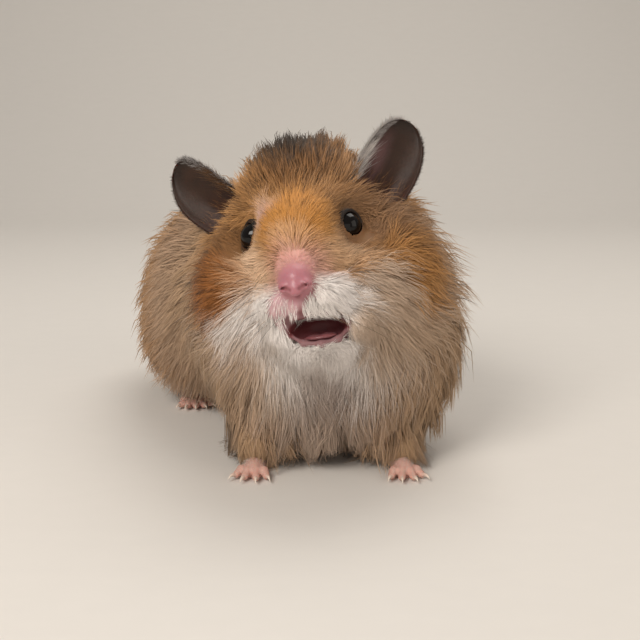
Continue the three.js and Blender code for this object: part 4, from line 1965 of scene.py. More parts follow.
@dataclass(frozen=True)
class Whiskers:
    """Long stiff hairs of the whisker pads and brows."""

    anatomy: Anatomy
    placement: Placement
    rows: int = 5
    columns: int = 4
    brow_hairs: int = 3
    rings: int = 9
    sides: int = 4
    radius: float = 0.036
    dark_share: float = 0.35
    seed: int = 71

    def _on_pad(self, side: Side, rng: np.random.Generator, s: Array) -> list[Array]:
        """Runs the whiskers of one pad, row by row.

        Args:
            side: Which pad.
            rng: The source of the scatter.
            s: From 0 at the root to 1 at the tip.

        Returns:
            Each whisker's run and whether it is dark, in the head's frame.
        """
        w, made = side.value, []
        for number in range(self.rows * self.columns):
            back = number % self.columns / (self.columns - 1)
            down = number // self.columns / (self.rows - 1)
            root = np.array([w * (4.0 + 3.6 * back), -15.2 + 4.4 * back, -13.6 - 5.4 * down])
            root = root + rng.normal(0, 0.25, 3)
            length = (13 + 19 * back) * rng.uniform(0.8, 1.1)
            way = np.array([w * 1.0, 0.12 + 0.5 * back, 0.25 - 0.75 * down]) + rng.normal(0, 0.06, 3)
            bend = np.array([w * -0.05, 0.28, -0.22]) * length
            made.append((root + unit(way) * length * s + bend * s * s, rng.random() < self.dark_share))
        return made

    def build(self, finish: HairFinish, shades: dict[str, Array]) -> bpy.types.Object:
        """Makes the whiskers.

        Args:
            finish: Their finish.
            shades: The animal's colours.

        Returns:
            The piece.
        """
        rng = np.random.default_rng(self.seed)
        s = np.linspace(0, 1, self.rings + 1)[:, None]
        made = []
        for side in Side:
            w = side.value
            made.extend(self._on_pad(side, rng, s))
            for number in range(self.brow_hairs):
                root = self.anatomy.eye_centre(side) + (w * (-1.5 + number), -1.0 + 0.8 * number, 4.6)
                way = unit(np.array([w * (0.3 + 0.3 * number), -0.15, 1.0]) + rng.normal(0, 0.2, 3))
                run = root + way * rng.uniform(4, 8) * s + np.array([w * 2.0, 3.5, -0.5]) * s * s
                made.append((run, True))
        count = len(made)
        paths = self.anatomy.out_of_head(np.array([path for path, _ in made]))
        radii = np.tile(self.radius * (1 - 0.75 * s[:-1, 0]), (count, 1))
        up = np.tile([0.0, 0.1, 1.0], (count, 1))
        points, faces = tubes(paths, radii, up, self.sides, np.zeros(count))
        piece = self.placement.piece("whiskers", points, faces, finish.material())
        dark = np.repeat([dark for _, dark in made], self.sides * self.rings + 1)[:, None]
        tone = np.where(dark, shades["umber"], shades["cream"])
        along = np.tile(on_corners(s[:, 0], self.sides), count)
        dress(piece, root_colour=tone * 0.8, tip_colour=tone, along=along, tick=0.0, tint=1.0)
        return piece


# ---------------------------------------------------------------- the coat
class Patch(Enum):
    """The pieces that the body's coat is made in."""

    BROW = "coat_brow"
    MUZZLE = "coat_muzzle"
    CROWN = "coat_crown"
    CHEEK_LEFT = "coat_cheek_left"
    CHEEK_RIGHT = "coat_cheek_right"
    CHIN = "coat_chin"
    THROAT = "coat_throat"
    CHEST = "coat_chest"
    BACK = "coat_back"
    FLANK_LEFT = "coat_flank_left"
    FLANK_RIGHT = "coat_flank_right"
    RUMP = "coat_rump"
    UNDER = "coat_under"


@dataclass
class Roots:
    """Where hairs grow and what each is like there."""

    points: Array
    normals: Array
    flow: Array
    depth: Array
    length: Array
    width: Array
    lift: Array
    lock: Array
    cover: Array
    outward: Array

    def only(self, keep: Array) -> Roots:
        """The roots that a mask picks."""
        return Roots(*(getattr(self, field.name)[keep] for field in fields(self)))


@dataclass(frozen=True)
class CoatSizes:
    """How the coat is made."""

    cover: float = 15.0
    base_length: float = 1.3
    stretch: float = 2.0
    base_width: float = 0.1
    widen: float = 0.0100
    sag: float = 0.1
    curl: float = 0.06
    deepest: float = 16.0
    longest: float = 19.0
    spacing: float = 2.6
    sides: int = 3
    root_depth: float = 0.12
    floor_gap: float = 0.35
    root_tone: float = 0.8
    ear_root_tone: float = 0.75
    foot_cover: float = 16.0
    foot_width: float = 0.09
    foot_floor_gap: float = 0.2
    patch: float = 0.003
    seed: int = 5


class Coat:
    """Thin tapered tufts in locks, following the lie of the hair over the skin."""

    STEPS = ((1, 0.0, 2.3), (2, 2.3, 7.0), (3, 7.0, 99.0))
    PALE = (Patch.CHIN, Patch.THROAT, Patch.CHEST, Patch.UNDER)
    PROFILE = ((0, 0.25, 0.5, 0.75, 1), (0.7, 1.0, 0.92, 0.62, 0))
    SHORT_WIDENS = 1.4

    def __init__(self, anatomy: Anatomy, markings: Markings, placement: Placement, sizes: CoatSizes) -> None:
        """Keeps the forms.

        Args:
            anatomy: The animal's forms.
            markings: Its colours.
            placement: Where the part stands.
            sizes: How the coat is made.
        """
        self.anatomy, self.markings, self.placement, self.sizes = anatomy, markings, placement, sizes
        self.skin_field, self.coat_field = anatomy.skin(), anatomy.coat()
        self.noise = Noise(23, 3)
        self.rng = np.random.default_rng(sizes.seed)
        self.ears = [Ear(ear) for ear in EARS]

    # ---- where and how hair grows
    def depth_at(self, points: Array, normals: Array) -> Array:
        """Measures how deep the coat is along each normal.

        Args:
            points: Points of the skin.
            normals: The skin's normals there.

        Returns:
            The depths.
        """
        deepest = self.sizes.deepest
        depth = np.zeros(len(points))
        for _ in range(5):
            depth = np.clip(depth - self.coat_field(points + normals * depth[:, None]), 0.0, deepest)
        h = self.anatomy.into_head(points)
        head = self.markings.headness(points)
        most = deepest - 8.5 * head * ramp(16, 8, h[:, 1])
        short = 2.4 + 2.6 * ramp(-22, -26, h[:, 2])
        return np.minimum(depth, most + (short - most) * head * ramp(3, -6, h[:, 1]))

    def _head_flow(self, h: Array) -> Array:
        """Lays the hair of the head away from the nose and round the eyes.

        Args:
            h: Points of the head's frame.

        Returns:
            The lie of the hair, in the head's frame.
        """
        x, _, z = h.T
        low = ramp(-14, -24, z)
        aside = np.sign(x) * ramp(6, 18, np.abs(x))
        crown = near(h, (0, 8, 15), (15, 14, 10), 0.8)
        way = unit(h - np.array([0.0, -21.0, -9.0]))
        way = way + np.stack([0.25 * aside, 0.35 + 0 * x, -0.25 - 0.9 * low + 0.9 * crown], 1)
        fuzz = near(h, (2.7, -12.8, -27.2), (6.5, 3.0, 0.9), 0.5)
        way = way * (1 - fuzz)[:, None] + fuzz[:, None] * np.array([0.1, -0.5, 1.0])
        for side in Side:
            eye = self.anatomy.eye_centre(side)
            way = way + 1.3 * unit(h - eye) * near(h, eye, 6.5, 0.6)[:, None]
        return way

    def _trunk_flow(self, points: Array) -> Array:
        """Lays the hair of the trunk and legs backward and down.

        Args:
            points: Points of the animal's frame.

        Returns:
            The lie of the hair.
        """
        x, y, z = points.T
        chest = ramp(34, 14, y)[:, None]
        top = ramp(38, 60, z)[:, None]
        leg = ramp(14, 6, z)[:, None]
        outward = np.stack([np.sign(x - 6.5) * ramp(2, 14, np.abs(x - 6.5)), 0 * x, 0 * x], 1)
        down = np.array([0.0, 0.0, -1.0])
        way = self.anatomy.back_way * (1 - 0.85 * chest) * (1 - 0.6 * leg)
        return way + down * (0.15 + 0.9 * chest + 0.55 * (1 - top) + 0.8 * leg) + 0.3 * outward * chest

    def flow_at(self, points: Array, normals: Array) -> Array:
        """Lays the hair everywhere, along the skin.

        Args:
            points: Points of the skin.
            normals: The skin's normals there.

        Returns:
            The lie of the hair.
        """
        share = self.markings.headness(points)[:, None]
        head = self._head_flow(self.anatomy.into_head(points)) @ self.anatomy.head_turn.T
        way = share * unit(head) + (1 - share) * unit(self._trunk_flow(points))
        way = way + 0.22 * self.noise.at(points, 4.0) + 0.2 * self.noise.at(points + 90, 11.0)
        return unit(way - np.sum(way * normals, 1, keepdims=True) * normals)

    def _bare(self, points: Array) -> Array:
        """Finds where no tuft grows: the nose, lips, eyes and soles.

        Args:
            points: Points of the skin.

        Returns:
            1 on bare skin, 0 elsewhere.
        """
        anatomy = self.anatomy
        h = anatomy.into_head(points)
        nose = near(h, (0.2, -18.2, -12.6), (4.2, 4.2, 4.4), 0.5)
        lips = anatomy.mouth_room(h) + ramp(0.3, 0.1, anatomy.lower_lip()(h)) * ramp(-26.3, -25.9, h[:, 2])
        rim = ramp(1.6, 1.1, anatomy.mouth()(h)) * ramp(-1, -3, h[:, 1]) * ramp(-22.8, -21.8, h[:, 2])
        lips = lips + ramp(0.55, 0.35, anatomy.groove()(h)) + anatomy.mouth_wall(h) + rim
        return np.clip(nose + lips + anatomy.by_eyes(h, 4.3, 0.12) + ramp(2.6, 1.6, points[:, 2]), 0, 1)

    def _thin(self, points: Array) -> Array:
        """Finds where the cover is thin: the bridge of the nose and the right whisker pad.

        Args:
            points: Points of the skin.

        Returns:
            The share of the full cover that grows there.
        """
        h = self.anatomy.into_head(points)
        bridge = near(h, (-0.1, -16.0, -10.0), (5.2, 5.6, 5.6), 1.0)
        pad = near(h, (-3.0, -15.4, -18.4), (4.3, 5.0, 4.4), 0.7)
        return np.maximum((1 - 0.92 * bridge) * (1 - 0.8 * pad), 0.24) ** 2

    def measure(self, points: Array, normals: Array) -> Roots:
        """Works out what hair is like at each point.

        Args:
            points: Points of the skin.
            normals: The skin's normals there.

        Returns:
            A root at each point.
        """
        sizes = self.sizes
        h = self.anatomy.into_head(points)
        headness = self.markings.headness(points)
        depth = self.depth_at(points, normals)
        crown = headness * near(h, (0, 8, 17), (11.5, 13, 10), 0.9)
        eye = self.anatomy.by_eyes(h, 5.6, 0.5)
        ruff = headness * near(h, (24, 10, -4), (14, 13, 16), 0.9)
        chin = headness * near(h, (2.5, -8, -28), (9, 9, 6), 0.8)
        pad = near(h, (5.5, -15, -16.5), (5, 5, 4.5), 0.5)
        length = sizes.base_length + (sizes.stretch - 0.4 * crown - 0.8 * chin) * depth
        below_eye = near(h, BELOW_EYE, (4.5, 5, 4.5), 0.7)
        length = length * (1 - 0.2 * np.clip(eye, 0, 1)) * (1 + 0.15 * ruff + 0.5 * pad + 0.8 * below_eye)
        nose = near(h, (0.2, -16.8, -11.4), (6.0, 6.0, 6.4), 0.9)
        length = np.clip(length * (1 - 0.5 * nose), 0.7, sizes.longest)
        rear = ramp(38, 60, points[:, 1])
        low = ramp(-12, -18, h[:, 2])
        below = ramp(16, 9, points[:, 2]) * ramp(14, 26, points[:, 1])
        width = (sizes.base_width + sizes.widen * length) * (1 + 0.25 * rear + 0.5 * below)
        lift = 0.95 + 0.65 * crown + 0.35 * ruff + 0.3 * pad
        breast = (1 - headness) * ramp(34, 24, points[:, 1]) * ramp(6, 12, points[:, 2])
        lock = 0.2 + 0.16 * ramp(4, 12, length) + 0.22 * crown + 0.25 * pad - 0.1 * headness * low
        lock = lock + 0.45 * breast + 0.25 * below_eye
        front = ramp(30, 22, points[:, 1]) * ramp(-14, -22, h[:, 2])
        cover = sizes.cover * (1 - 0.3 * rear) * (1 - 0.45 * below) * (1 + 0.25 * front)
        width = width * (1 - 0.12 * front) * (1 - 0.08 * headness)
        flow = self.flow_at(points, normals)
        return Roots(points, normals, flow, depth, length, width, lift, lock, cover, normals)

    def sow(self, surface: Surface) -> Roots:
        """Chooses the roots over the skin, spread evenly with a little scatter.

        Args:
            surface: The skin that carries hair.

        Returns:
            The roots.
        """
        middle, area, corners = triangles_of(surface)
        there = self.measure(middle, slope_of(self.skin_field, middle))
        density = there.cover / (there.length * there.width)
        density = density * (1 - self._bare(middle)) * self._thin(middle)
        points = scattered(corners, area * density, self.rng)
        return self.measure(points, slope_of(self.skin_field, points))

    # ---- how each tuft runs
    def paths(self, roots: Roots, rings: int) -> Array:
        """Runs each tuft over the skin, always at its own share of the coat's depth.

        Args:
            roots: The roots.
            rings: Steps from root to tip.

        Returns:
            Points as tufts by steps and one by 3.
        """
        count = len(roots.points)
        vary = 1 + 0.2 * self.rng.normal(size=count).clip(-2, 2)
        length = roots.length * vary
        stray = self.rng.random(count) < 0.08 + 0.2 * ramp(1.2, 1.5, roots.lift)
        lift = roots.lift * (0.8 + 0.35 * self.rng.random(count) + 0.4 * stray)
        height = np.minimum(roots.depth * lift, length * 0.92)
        run = np.sqrt(np.maximum(length**2 - height**2, 0.04 * length**2))
        here = roots.points - self.sizes.root_depth * roots.normals
        made, normals = [here], roots.normals
        scatter = 0.2 * self.rng.normal(size=(count, 3))
        before = 0.0
        for step in range(1, rings + 1):
            s = step / rings
            way = roots.flow + scatter
            way = unit(way - np.sum(way * normals, 1, keepdims=True) * normals)
            after = s**1.25
            here = here + way * ((after - before) * run)[:, None] + normals * (height / rings)[:, None]
            before = after
            normals = slope_of(self.coat_field, here)
            low, high = self.skin_field(here), self.coat_field(here)
            rise = 1 - (1 - s) ** 1.7
            want = rise * height / np.maximum(roots.depth, 0.4) * np.maximum(low - high, 0.4)
            here = here + normals * np.clip(want - low, -2.5, 2.5)[:, None] * 0.85
            made.append(here)
        path = np.stack(made, axis=1)
        s = np.linspace(0, 1, rings + 1)[None, :, None]
        long = length[:, None, None]
        curl = self.noise.at(roots.points + 40, 2.2)[:, None] + 0.7 * self.rng.normal(size=(count, 1, 3))
        path = path + curl * self.sizes.curl * long * s * s
        drop = self.sizes.sag * long * s * s * ramp(5, 12, long)
        return path - drop * np.array([0.0, 0.0, 1.0])

    def gather(self, roots: Roots, path: Array, spacing: float) -> Array:
        """Draws neighbouring tufts toward each other's middle, so that they lie in pointed locks.

        Args:
            roots: The roots.
            path: The tufts' runs.
            spacing: Usual distance between locks.

        Returns:
            The new runs.
        """
        count = len(path)
        local = spacing * (0.35 + 0.65 * ramp(2, 10, roots.length) + 0.5 * ramp(0.6, 0.8, roots.lock))
        density = roots.cover / (roots.length * roots.width)
        chosen = np.flatnonzero(self.rng.random(count) < 1.0 / (density * local**2))
        tree = KDTree(len(chosen))
        for number, index in enumerate(chosen):
            tree.insert(path[index, 1], number)
        tree.balance()
        nearest = chosen[[tree.find(place)[1] for place in path[:, 1]]]
        centre = path[nearest]
        gap = np.linalg.norm(centre[:, 0] - path[:, 0], axis=1)
        alike = np.sum(roots.normals * roots.normals[nearest], 1) > 0.5
        reach = np.where(alike & (gap < 2.2 * local), 1.0, 0.0)
        s = np.linspace(0, 1, path.shape[1])[None, :, None]
        pull = (roots.lock * reach * (0.75 + 0.5 * self.rng.random(count)))[:, None, None]
        return path + (centre - path) * pull * s**1.3

    def _clear(self, path: Array) -> Array:
        """Finds the tufts that cross neither an eye, the mouth's opening nor the hollow of an ear.

        Args:
            path: The tufts' runs.

        Returns:
            True for those tufts.
        """
        rings = path.shape[1] - 1
        fine = np.linspace(0, rings, 4 * rings + 1)
        low = np.minimum(fine.astype(int), rings - 1)
        share = (fine - low)[:, None]
        h = self.anatomy.into_head(path[:, low] * (1 - share) + path[:, low + 1] * share)
        x, y, z = np.moveaxis(h, -1, 0)
        crossing = (((x - 2.3) / 5.8) ** 2 + ((z + 23.5) / 2.3) ** 2 < 1) & (y < -3)
        crossing |= (self.anatomy.mouth()(h) < -0.1) & (y > -12.9)
        crossing |= (np.abs(x - 0.15) < 0.32) & (y < -14.2) & (np.abs(z + 18.0) < 2.6)
        for side in Side:
            off, axis = h - self.anatomy.eye_centre(side), self.anatomy.eye_axis(side)
            ahead = off @ axis
            beside = np.linalg.norm(off - ahead[..., None] * axis, axis=-1)
            crossing |= (ahead > 1.4) & (beside < 3.35) & (ahead < 9)
        for ear in self.ears:
            crossing |= ear.hollow(h)
        return ~np.any(crossing, axis=1)

    def patch_of(self, points: Array) -> Array:
        """Shares the roots out among the pieces of the coat.

        Args:
            points: The roots.

        Returns:
            The name of each root's piece.
        """
        h = self.anatomy.into_head(points)
        head = self.markings.headness(points) > 0.5
        from_hip = points - self.anatomy.from_hip(0, 0, 0)
        along, left = from_hip @ self.anatomy.back_way, from_hip @ self.anatomy.left_way > 0
        rules = [
            (head & (h[:, 2] > 7), Patch.CROWN),
            (head & (h[:, 2] < -17) & (h[:, 1] < -4), Patch.CHIN),
            (head & (h[:, 2] < -17), Patch.THROAT),
            (head & (h[:, 1] < -1) & (h[:, 2] > -5), Patch.BROW),
            (head & (h[:, 1] < -1), Patch.MUZZLE),
            (head & (h[:, 0] > 0), Patch.CHEEK_LEFT),
            (head, Patch.CHEEK_RIGHT),
            (points[:, 1] < 17, Patch.CHEST),
            (points[:, 2] < 15, Patch.UNDER),
            (along > 20, Patch.RUMP),
            (points[:, 2] > 50, Patch.BACK),
            (left, Patch.FLANK_LEFT),
        ]
        masks, patches = zip(*rules)
        return np.select(masks, [patch.value for patch in patches], Patch.FLANK_RIGHT.value)

    # ---- making the meshes
    def _unwrap(self, points: Array, normals: Array) -> Array:
        """Each root's place on an unwrap of the skin round its own patch.

        Args:
            points: The roots.
            normals: The skin's normals there.

        Returns:
            Two numbers from 0.01 to 0.99 for each root.
        """
        middle = points.mean(axis=0)
        out = unit(normals.mean(axis=0) + 1e-6)
        first = unit(np.cross(out, [0.13, 0.1, 1.0]))
        second = np.cross(out, first)
        core = middle - out * 0.6 * np.linalg.norm(points - middle, axis=1).mean()
        way = unit(points - core)
        angle = np.arccos(np.clip(way @ out, -1, 1))
        turn = np.arctan2(way @ second, way @ first)
        flat = np.stack([angle * np.cos(turn), angle * np.sin(turn)], axis=1)
        low, high = flat.min(axis=0), flat.max(axis=0)
        return 0.01 + 0.98 * (flat - low) / np.maximum(high - low, 1e-9)

    def piece(
        self,
        name: str,
        groups: Sequence[tuple[Roots, Array]],
        finish: bpy.types.Material,
        slot: str,
        marks: Callable[[Array], Marks],
        flat: Array | None = None,
    ) -> int:
        """Makes one coat piece.

        Args:
            name: The piece's name.
            groups: Tufts with the same number of rings: their roots and runs.
            finish: The hair's material.
            slot: Not used.
            marks: Gives the colours at the roots.
            flat: Each root's place on an unwrap of the skin, where the usual one won't do.

        Returns:
            The number of triangles.
        """
        if flat is None:
            where = np.concatenate([roots.points for roots, _ in groups])
            flat = self._unwrap(where, np.concatenate([roots.normals for roots, _ in groups]))
        sides, start, taken = self.sizes.sides, 0, 0
        points, faces, normals, uvs, layers = [], [], [], [], []
        for roots, path in groups:
            count, rings = len(path), path.shape[1] - 1
            if not count:
                continue
            each = sides * rings + 1
            s = np.linspace(0, 1, rings + 1)
            profile = np.interp(s[:-1], *self.PROFILE) * (self.SHORT_WIDENS if rings == 1 else 1)
            radii = roots.width[:, None] / 2 * profile * self.rng.uniform(0.75, 1.25, (count, 1))
            spin = self.rng.uniform(0, 2 * np.pi, count)
            made, triangles = tubes(path, radii, roots.normals, sides, spin)
            axis = np.concatenate([np.repeat(path[:, :-1], sides, axis=1), path[:, -1:]], axis=1)
            radial = unit(made - axis.reshape(-1, 3) + 1e-9)
            bulk = np.repeat(roots.outward, each, axis=0)
            ends = np.tile(np.arange(each) == each - 1, count)
            normals.append(unit(np.where(ends[:, None], bulk, 0.62 * bulk + 0.38 * radial)))
            along = np.tile(on_corners(s, sides), count)
            across = np.tile(np.append(np.tile([0.0, 0.5, 1.0], rings), 0.5), count)
            place = np.repeat(flat[taken : taken + count], each, axis=0)
            place = place + self.sizes.patch * (np.stack([across, along], 1) - 0.5)
            uvs.append(place[triangles.ravel()])
            points.append(made)
            faces.append(triangles + start)
            there = marks(roots.points)
            ticked = (self.rng.random(count) < there.ticking) * self.rng.uniform(0.6, 1.0, count)
            spread = 0.07 + 0.12 * np.clip(there.ticking, 0, 1)
            tint = (1 + spread * self.rng.normal(size=count)).clip(0.7, 1.3)
            tones = (there.root, there.tip, ticked, tint)
            root, tip, ticked, tint = (np.repeat(values, each, axis=0) for values in tones)
            layers.append((root, tip, along, ticked, tint))
            start += len(made)
            taken += count
        every = np.concatenate(faces)
        piece = self.placement.piece(name, np.concatenate(points), every, finish)
        layer = piece.data.uv_layers.new(name="OFBake")
        layer.data.foreach_set("uv", np.concatenate(uvs).astype(np.float32).ravel())
        names = ("root_colour", "tip_colour", "along", "tick", "tint")
        dress(piece, **dict(zip(names, map(np.concatenate, zip(*layers)))))
        piece.data.normals_split_custom_set_from_vertices(np.concatenate(normals).astype(np.float32))
        log.info("%s: %d tufts, %d triangles", name, taken, len(every))
        return len(every)

    def grow(self, roots: Roots) -> list[tuple[Roots, Array]]:
        """Runs the tufts, with more rings for the longer ones, and gathers them.

        Args:
            roots: The roots.

        Returns:
            Groups with the same number of rings.
        """
        groups = []
        for rings, low, high in self.STEPS:
            some = roots.only((roots.length >= low) & (roots.length < high))
            path = self.gather(some, self.paths(some, rings), self.sizes.spacing)
            path[..., 2] = np.maximum(path[..., 2], self.sizes.floor_gap)
            keep = self._clear(path)
            some, path = some.only(keep), path[keep]
            lip = near(self.anatomy.into_head(some.points), (2.7, -13.0, -21.2), (8.5, 6, 3.8), 0.6)[:, None]
            ahead = np.array([0.0, -1.2, 0.5]) @ self.anatomy.head_turn.T
            outward = slope_of(self.coat_field, path[:, -1], 1.5) + 0.5 * some.normals
            some.outward = unit(outward * (1 - lip) + ahead * lip)
            groups.append((some, path))
        return groups

    def build(self, skin: Skin, golden: bpy.types.Material, cream: bpy.types.Material) -> int:
        """Makes the coat of the body.

        Args:
            skin: The skin it grows on.
            golden: The finish of the golden parts.
            cream: The finish of the cream and white parts.

        Returns:
            The number of triangles.
        """
        groups = self.grow(self.sow(skin.body))
        labels = [self.patch_of(roots.points) for roots, _ in groups]
        total = 0
        for patch in Patch:
            mine = []
            for (roots, path), label in zip(groups, labels):
                keep = label == patch.value
                mine.append((roots.only(keep), path[keep]))
            finish, slot = (cream, "cream_coat") if patch in self.PALE else (golden, "golden_coat")
            total += self.piece(patch.value, mine, finish, slot, self.markings.at)
        return total

    # ---- short hair of the ears and feet
    def _short(
        self, points: Array, normals: Array, flow: Array, length: Array, width: Array
    ) -> tuple[Roots, Array]:
        """Runs short tufts that lie close along a thin part.

        Args:
            points: The roots.
            normals: The surface's normals.
            flow: The way the hair lies.
            length: Each tuft's length.
            width: Each tuft's width.

        Returns:
            The roots and runs.
        """
        count = len(points)
        blank = np.zeros(count)
        way = unit(flow + 0.22 * self.rng.normal(size=(count, 3)))
        roots = Roots(points, normals, way, blank, length, width, blank, blank, blank, normals)
        s = np.array([0.0, 1.0])[None, :, None]
        rise = self.rng.uniform(0.15, 0.4, (count, 1, 1)) * s
        run = length[:, None, None] * (way[:, None] * s * 0.93 + normals[:, None] * rise)
        return roots, points[:, None] - 0.1 * normals[:, None] + run

    def build_ear(self, ear: Ear, finish: bpy.types.Material) -> int:
        """Makes the short hair of one ear: its back, its rim and the fringe inside its base.

        Args:
            ear: The ear.
            finish: The hair's material.

        Returns:
            The number of triangles.
        """
        u, v, back, length, width, colours = self._ear_hairs(ear)
        eps = 0.01
        du = ear.place(u + eps, v, back) - ear.place(u - eps, v, back)
        dv = ear.place(u, np.clip(v + eps, 0, 1), back) - ear.place(u, np.clip(v - eps, 0, 1), back)
        facing = unit(np.cross(du, dv))
        facing = facing * np.sign(facing @ ear.facing)[:, None] * np.where(back > 0.5, -1.0, 1.0)[:, None]
        rimward = np.where(np.abs(u) > 0.98, np.sign(u) * 1.2, 0.35 * u)
        flow = unit(unit(dv) + rimward[:, None] * unit(du))
        turn = self.anatomy.head_turn.T
        here = self.anatomy.out_of_head(ear.place(u, v, back))
        group = self._short(here, facing @ turn, flow @ turn, length, width)
        flat = np.stack([0.01 + 0.245 * (u + 1) + 0.5 * (back > 0.5), 0.01 + 0.98 * v], 1)
        marks = Marks(colours * self.sizes.ear_root_tone, colours, np.zeros(len(colours)))
        name = f"coat_ear_{ear.sizes.side.word}"
        return self.piece(name, [group], finish, "golden_coat", lambda _: marks, flat)

    def _ear_hairs(self, ear: Ear) -> tuple[Array, Array, Array, Array, Array, Array]:
        """Scatters the hairs of one ear, kind after kind.

        Args:
            ear: The ear.

        Returns:
            Each hair's place across and along, its face, its length, its width and its colour.
        """
        shades, rng = self.markings.shades, self.rng
        left = ear.sizes.side is Side.LEFT
        inner = (-1.0, -0.72) if left else (0.66, 1.0)
        edge_tones = ("silver", "umber") if left else ("umber", "silver")
        fringe_tones = ("white", "silver") if left else ("brown", "umber")
        kinds = (
            # count, across, along, back, length, width, first colour, second colour
            (2600, (-1, 1), (0.0, 0.97), 1.0, 1.9, 0.1, "brown", "umber"),
            (1500, (-0.97, 0.97), (0.15, 0.97), 0.0, 0.8, 0.06, "ear_hollow", "ear_rim"),
            (260, (-0.9, 0.9), (0.02, 0.3), 0.0, 2.8, 0.09, "umber", "brown"),
            (900, inner, (0.05, 0.9), 0.0, 1.7, 0.09, *edge_tones),
            (260, inner, (0.0, 0.42), 0.0, 5.6, 0.12, *fringe_tones),
        )
        made = []
        for count, across, along, back, length, width, *tones in kinds:
            u, v = rng.uniform(*across, count), rng.uniform(*along, count)
            made.append((u, v, np.full(count, back), length * rng.uniform(0.6, 1.2, count), width, tones))
        # edge, length, first colour, second colour
        edges = (
            ((-1, 1.0, "silver", "white"), (1, 0.55, "umber", "ear_rim"))
            if left
            else ((-1, 0.55, "umber", "umber"), (1, 1.0, "silver", "umber"))
        )
        count = 900
        for edge, long, *tones in edges:
            v = rng.uniform(0.05, 0.98, count) ** 0.8
            face, length = rng.random(count), long * rng.uniform(0.8, 1.7, count)
            made.append((np.full(count, edge * 0.99), v, face, length, 0.08, tones))
        count = 700
        top, face, length = rng.uniform(-0.98, 0.98, count), rng.random(count), rng.uniform(0.4, 0.9, count)
        made.append((top, np.full(count, 0.992), face, length, 0.07, ("umber", "silver")))
        u, v, back, length = (np.concatenate(column) for column in list(zip(*made))[:4])
        width = np.concatenate([np.full(len(part[0]), part[4]) for part in made])
        colours = []
        for part in made:
            first, second = (shades[tone] for tone in part[5])
            colours.append(np.where(rng.random((len(part[0]), 1)) < 0.6, first, second))
        return u, v, back, length, width, np.concatenate(colours)

    def build_feet(self, feet: Sequence[Foot], finish: bpy.types.Material) -> int:
        """Makes the short pale hair on top of the feet.

        Args:
            feet: The feet.
            finish: The hair's material.

        Returns:
            The number of triangles.
        """
        sizes, groups, flats = self.sizes, [], []
        for index, foot in enumerate(feet):
            field, palm, toe = foot.field(), foot.sizes.palm_length, foot.sizes.toe_length
            middle, area, corners = triangles_of(surface_of(field, foot.lattice()))
            upward = ramp(0.15, 0.6, slope_of(field, middle)[:, 2])
            reach = ramp(-palm - toe * 0.9, -palm + 0.5, middle[:, 1])
            share = area * upward * (0.25 + 0.75 * reach) * sizes.foot_cover
            points = scattered(corners, share, self.rng)
            normals = slope_of(field, points)
            flow = np.array([0, -1.0, -0.1]) + 0.25 * normals * (1, 0, 0)
            count = len(points)
            length = self.rng.uniform(0.8, 1.7, count) * (0.55 + 0.45 * ramp(-palm - 3, 0, points[:, 1]))
            turn = foot.matrix.T
            width = np.full(count, sizes.foot_width)
            roots, path = self._short(foot.placed(points), normals @ turn, flow @ turn, length, width)
            path[..., 2] = np.maximum(path[..., 2], sizes.foot_floor_gap)
            groups.append((roots, path))
            flat = points[:, :2] / (2.2 * (palm + toe + 3)) + 0.5
            flats.append(np.clip((flat + (index % 2, index // 2)) / 2, 0.01, 0.99))
        tone = self.markings.shades["cream"] * 0.5 + self.markings.shades["white"] * 0.5

        def marks(points: Array) -> Marks:
            """The same pale colour everywhere."""
            tones = np.tile(tone, (len(points), 1))
            return Marks(tones * sizes.root_tone, tones, np.zeros(len(points)))

        return self.piece("coat_feet", groups, finish, "cream_coat", marks, np.concatenate(flats))


# ---------------------------------------------------------------- the studio
@dataclass(frozen=True)
class Lamp:
    """A soft rectangular light."""

    name: str
    place: Triple
    size: float
    watts: float
    colour: Triple

    def build(self, target: Vector) -> None:
        """Hangs the light, facing the model.

        Args:
            target: Where it points.
        """
        data = bpy.data.lights.new(self.name, "AREA")
        data.shape, data.size, data.energy = "SQUARE", self.size, self.watts
        data.color = tuple(srgb(*self.colour))
        lamp = bpy.data.objects.new(self.name, data)
        lamp.location = Vector(self.place)
        lamp.rotation_euler = (target - lamp.location).to_track_quat("-Z", "Y").to_euler()
        bpy.context.scene.collection.objects.link(lamp)


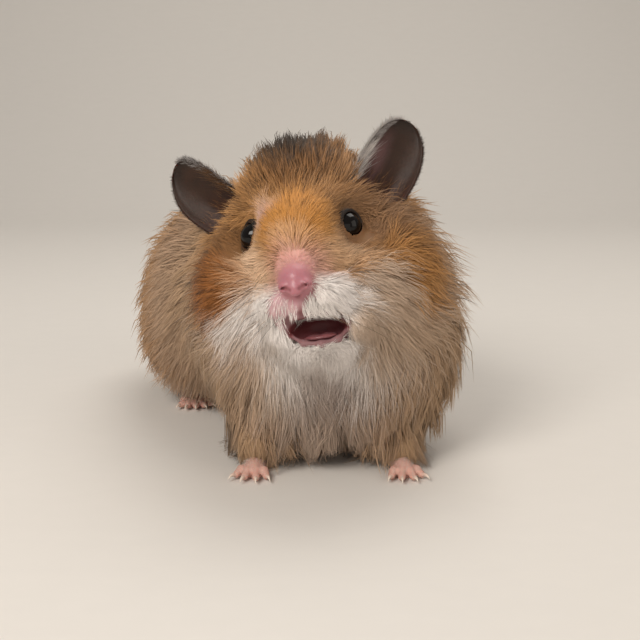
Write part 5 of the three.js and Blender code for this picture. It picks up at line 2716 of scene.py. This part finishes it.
@dataclass(frozen=True)
class Studio:
    """A pale floor that curves up behind, soft lights and the camera."""

    placement: Placement
    lens: float = 58.2
    sensor: float = 36.0
    nearest: float = 0.01
    pitch: float = 78.0
    camera: Triple = (4.44, -229.2, 86.3)
    target: Triple = (0.0, -0.03, 0.045)
    half_width: float = 1.8
    front: float = -1.2
    run: float = 0.45
    reach: float = 0.35
    height: float = 1.4
    room: Triple = (246, 241, 236)
    room_strength: float = 0.3
    lamps: tuple[Lamp, ...] = (
        Lamp("key_light", (-0.3, -0.55, 0.5), 0.32, 3.9, (255, 248, 240)),
        Lamp("fill_light", (0.6, -0.35, 0.3), 0.5, 0.9, (255, 244, 232)),
        Lamp("low_light", (0.05, -0.8, 0.12), 0.5, 0.45, (255, 246, 238)),
        Lamp("top_light", (0.1, 0.25, 0.7), 0.5, 2.3, (255, 250, 244)),
    )

    def _backdrop(self, finish: StudioFinish) -> None:
        """Makes the floor and its curve up behind.

        Args:
            finish: Its finish.
        """
        angle = np.linspace(0, np.pi / 2, 17)
        curve = ((self.run + self.reach * math.sin(a), self.reach * (1 - math.cos(a))) for a in angle)
        profile = [(self.front, 0.0), *curve, (self.run + self.reach, self.height)]
        points = [(x, y, z) for y, z in profile for x in (-self.half_width, self.half_width)]
        faces = [(row, row + 1, row + 3, row + 2) for row in range(0, 2 * len(profile) - 2, 2)]
        mesh = bpy.data.meshes.new("backdrop")
        mesh.from_pydata(points, [], faces)
        mesh.shade_smooth()
        mesh.materials.append(finish.material())
        stage = bpy.data.objects.new("backdrop", mesh)
        bpy.context.scene.collection.objects.link(stage)

    def build(self, finish: StudioFinish) -> None:
        """Makes the studio.

        Args:
            finish: The backdrop's finish.
        """
        self._backdrop(finish)
        for lamp in self.lamps:
            lamp.build(Vector(self.target))
        scene, world = bpy.context.scene, bpy.data.worlds.new("room_light")
        world.use_nodes = True
        sky = {"Color": (*srgb(*self.room), 1.0), "Strength": self.room_strength}
        Nodes(world.node_tree).fill(world.node_tree.nodes["Background"], sky)
        scene.world = world
        data = bpy.data.cameras.new("camera")
        data.lens, data.sensor_width, data.clip_start = self.lens, self.sensor, self.nearest
        camera = bpy.data.objects.new("camera", data)
        camera.location = self.placement.metres(self.camera)
        camera.rotation_euler = (math.radians(self.pitch), 0.0, 0.0)
        scene.collection.objects.link(camera)
        scene.camera = camera
        scene.view_settings.view_transform = "Standard"


def main() -> None:
    """Builds the hamster and its studio."""
    logging.basicConfig(level=logging.INFO, format="%(name)s: %(message)s")
    anatomy = Anatomy(HeadSizes(), TrunkSizes())
    placement = Placement(anatomy)
    shades = Shades()
    markings = Markings(anatomy, shades)
    effects = SharedEffects()
    Studio(placement).build(StudioFinish())
    skin = Skin(anatomy, markings, placement)
    pieces = [skin.build(SkinFinish("living_skin", effects))]
    pieces.extend(Eyes(anatomy, placement).build(side, EyeFinish()) for side in Side)
    pieces.append(Tongue(anatomy, placement).build(SkinFinish("tongue_skin", effects), srgb(*shades.mouth)))
    pieces.append(Claws(placement).build(skin.feet, HornFinish()))
    golden = HairFinish("golden_hair", effects, shades.dark).material()
    cream = HairFinish("cream_hair", effects, shades.dark).material()
    stiff = HairFinish("whisker_hair", effects, shades.dark, 0.35)
    pieces.append(Whiskers(anatomy, placement).build(stiff, markings.shades))
    for piece in pieces:
        log.info("%s: %d points", piece.name, len(piece.data.vertices))
    coat = Coat(anatomy, markings, placement, CoatSizes())
    total = coat.build(skin, golden, cream)
    total += sum(coat.build_ear(ear, golden) for ear in skin.ears)
    total += coat.build_feet(skin.feet, cream)
    log.info("coat: %d triangles", total)


if __name__ == "__main__":
    main()
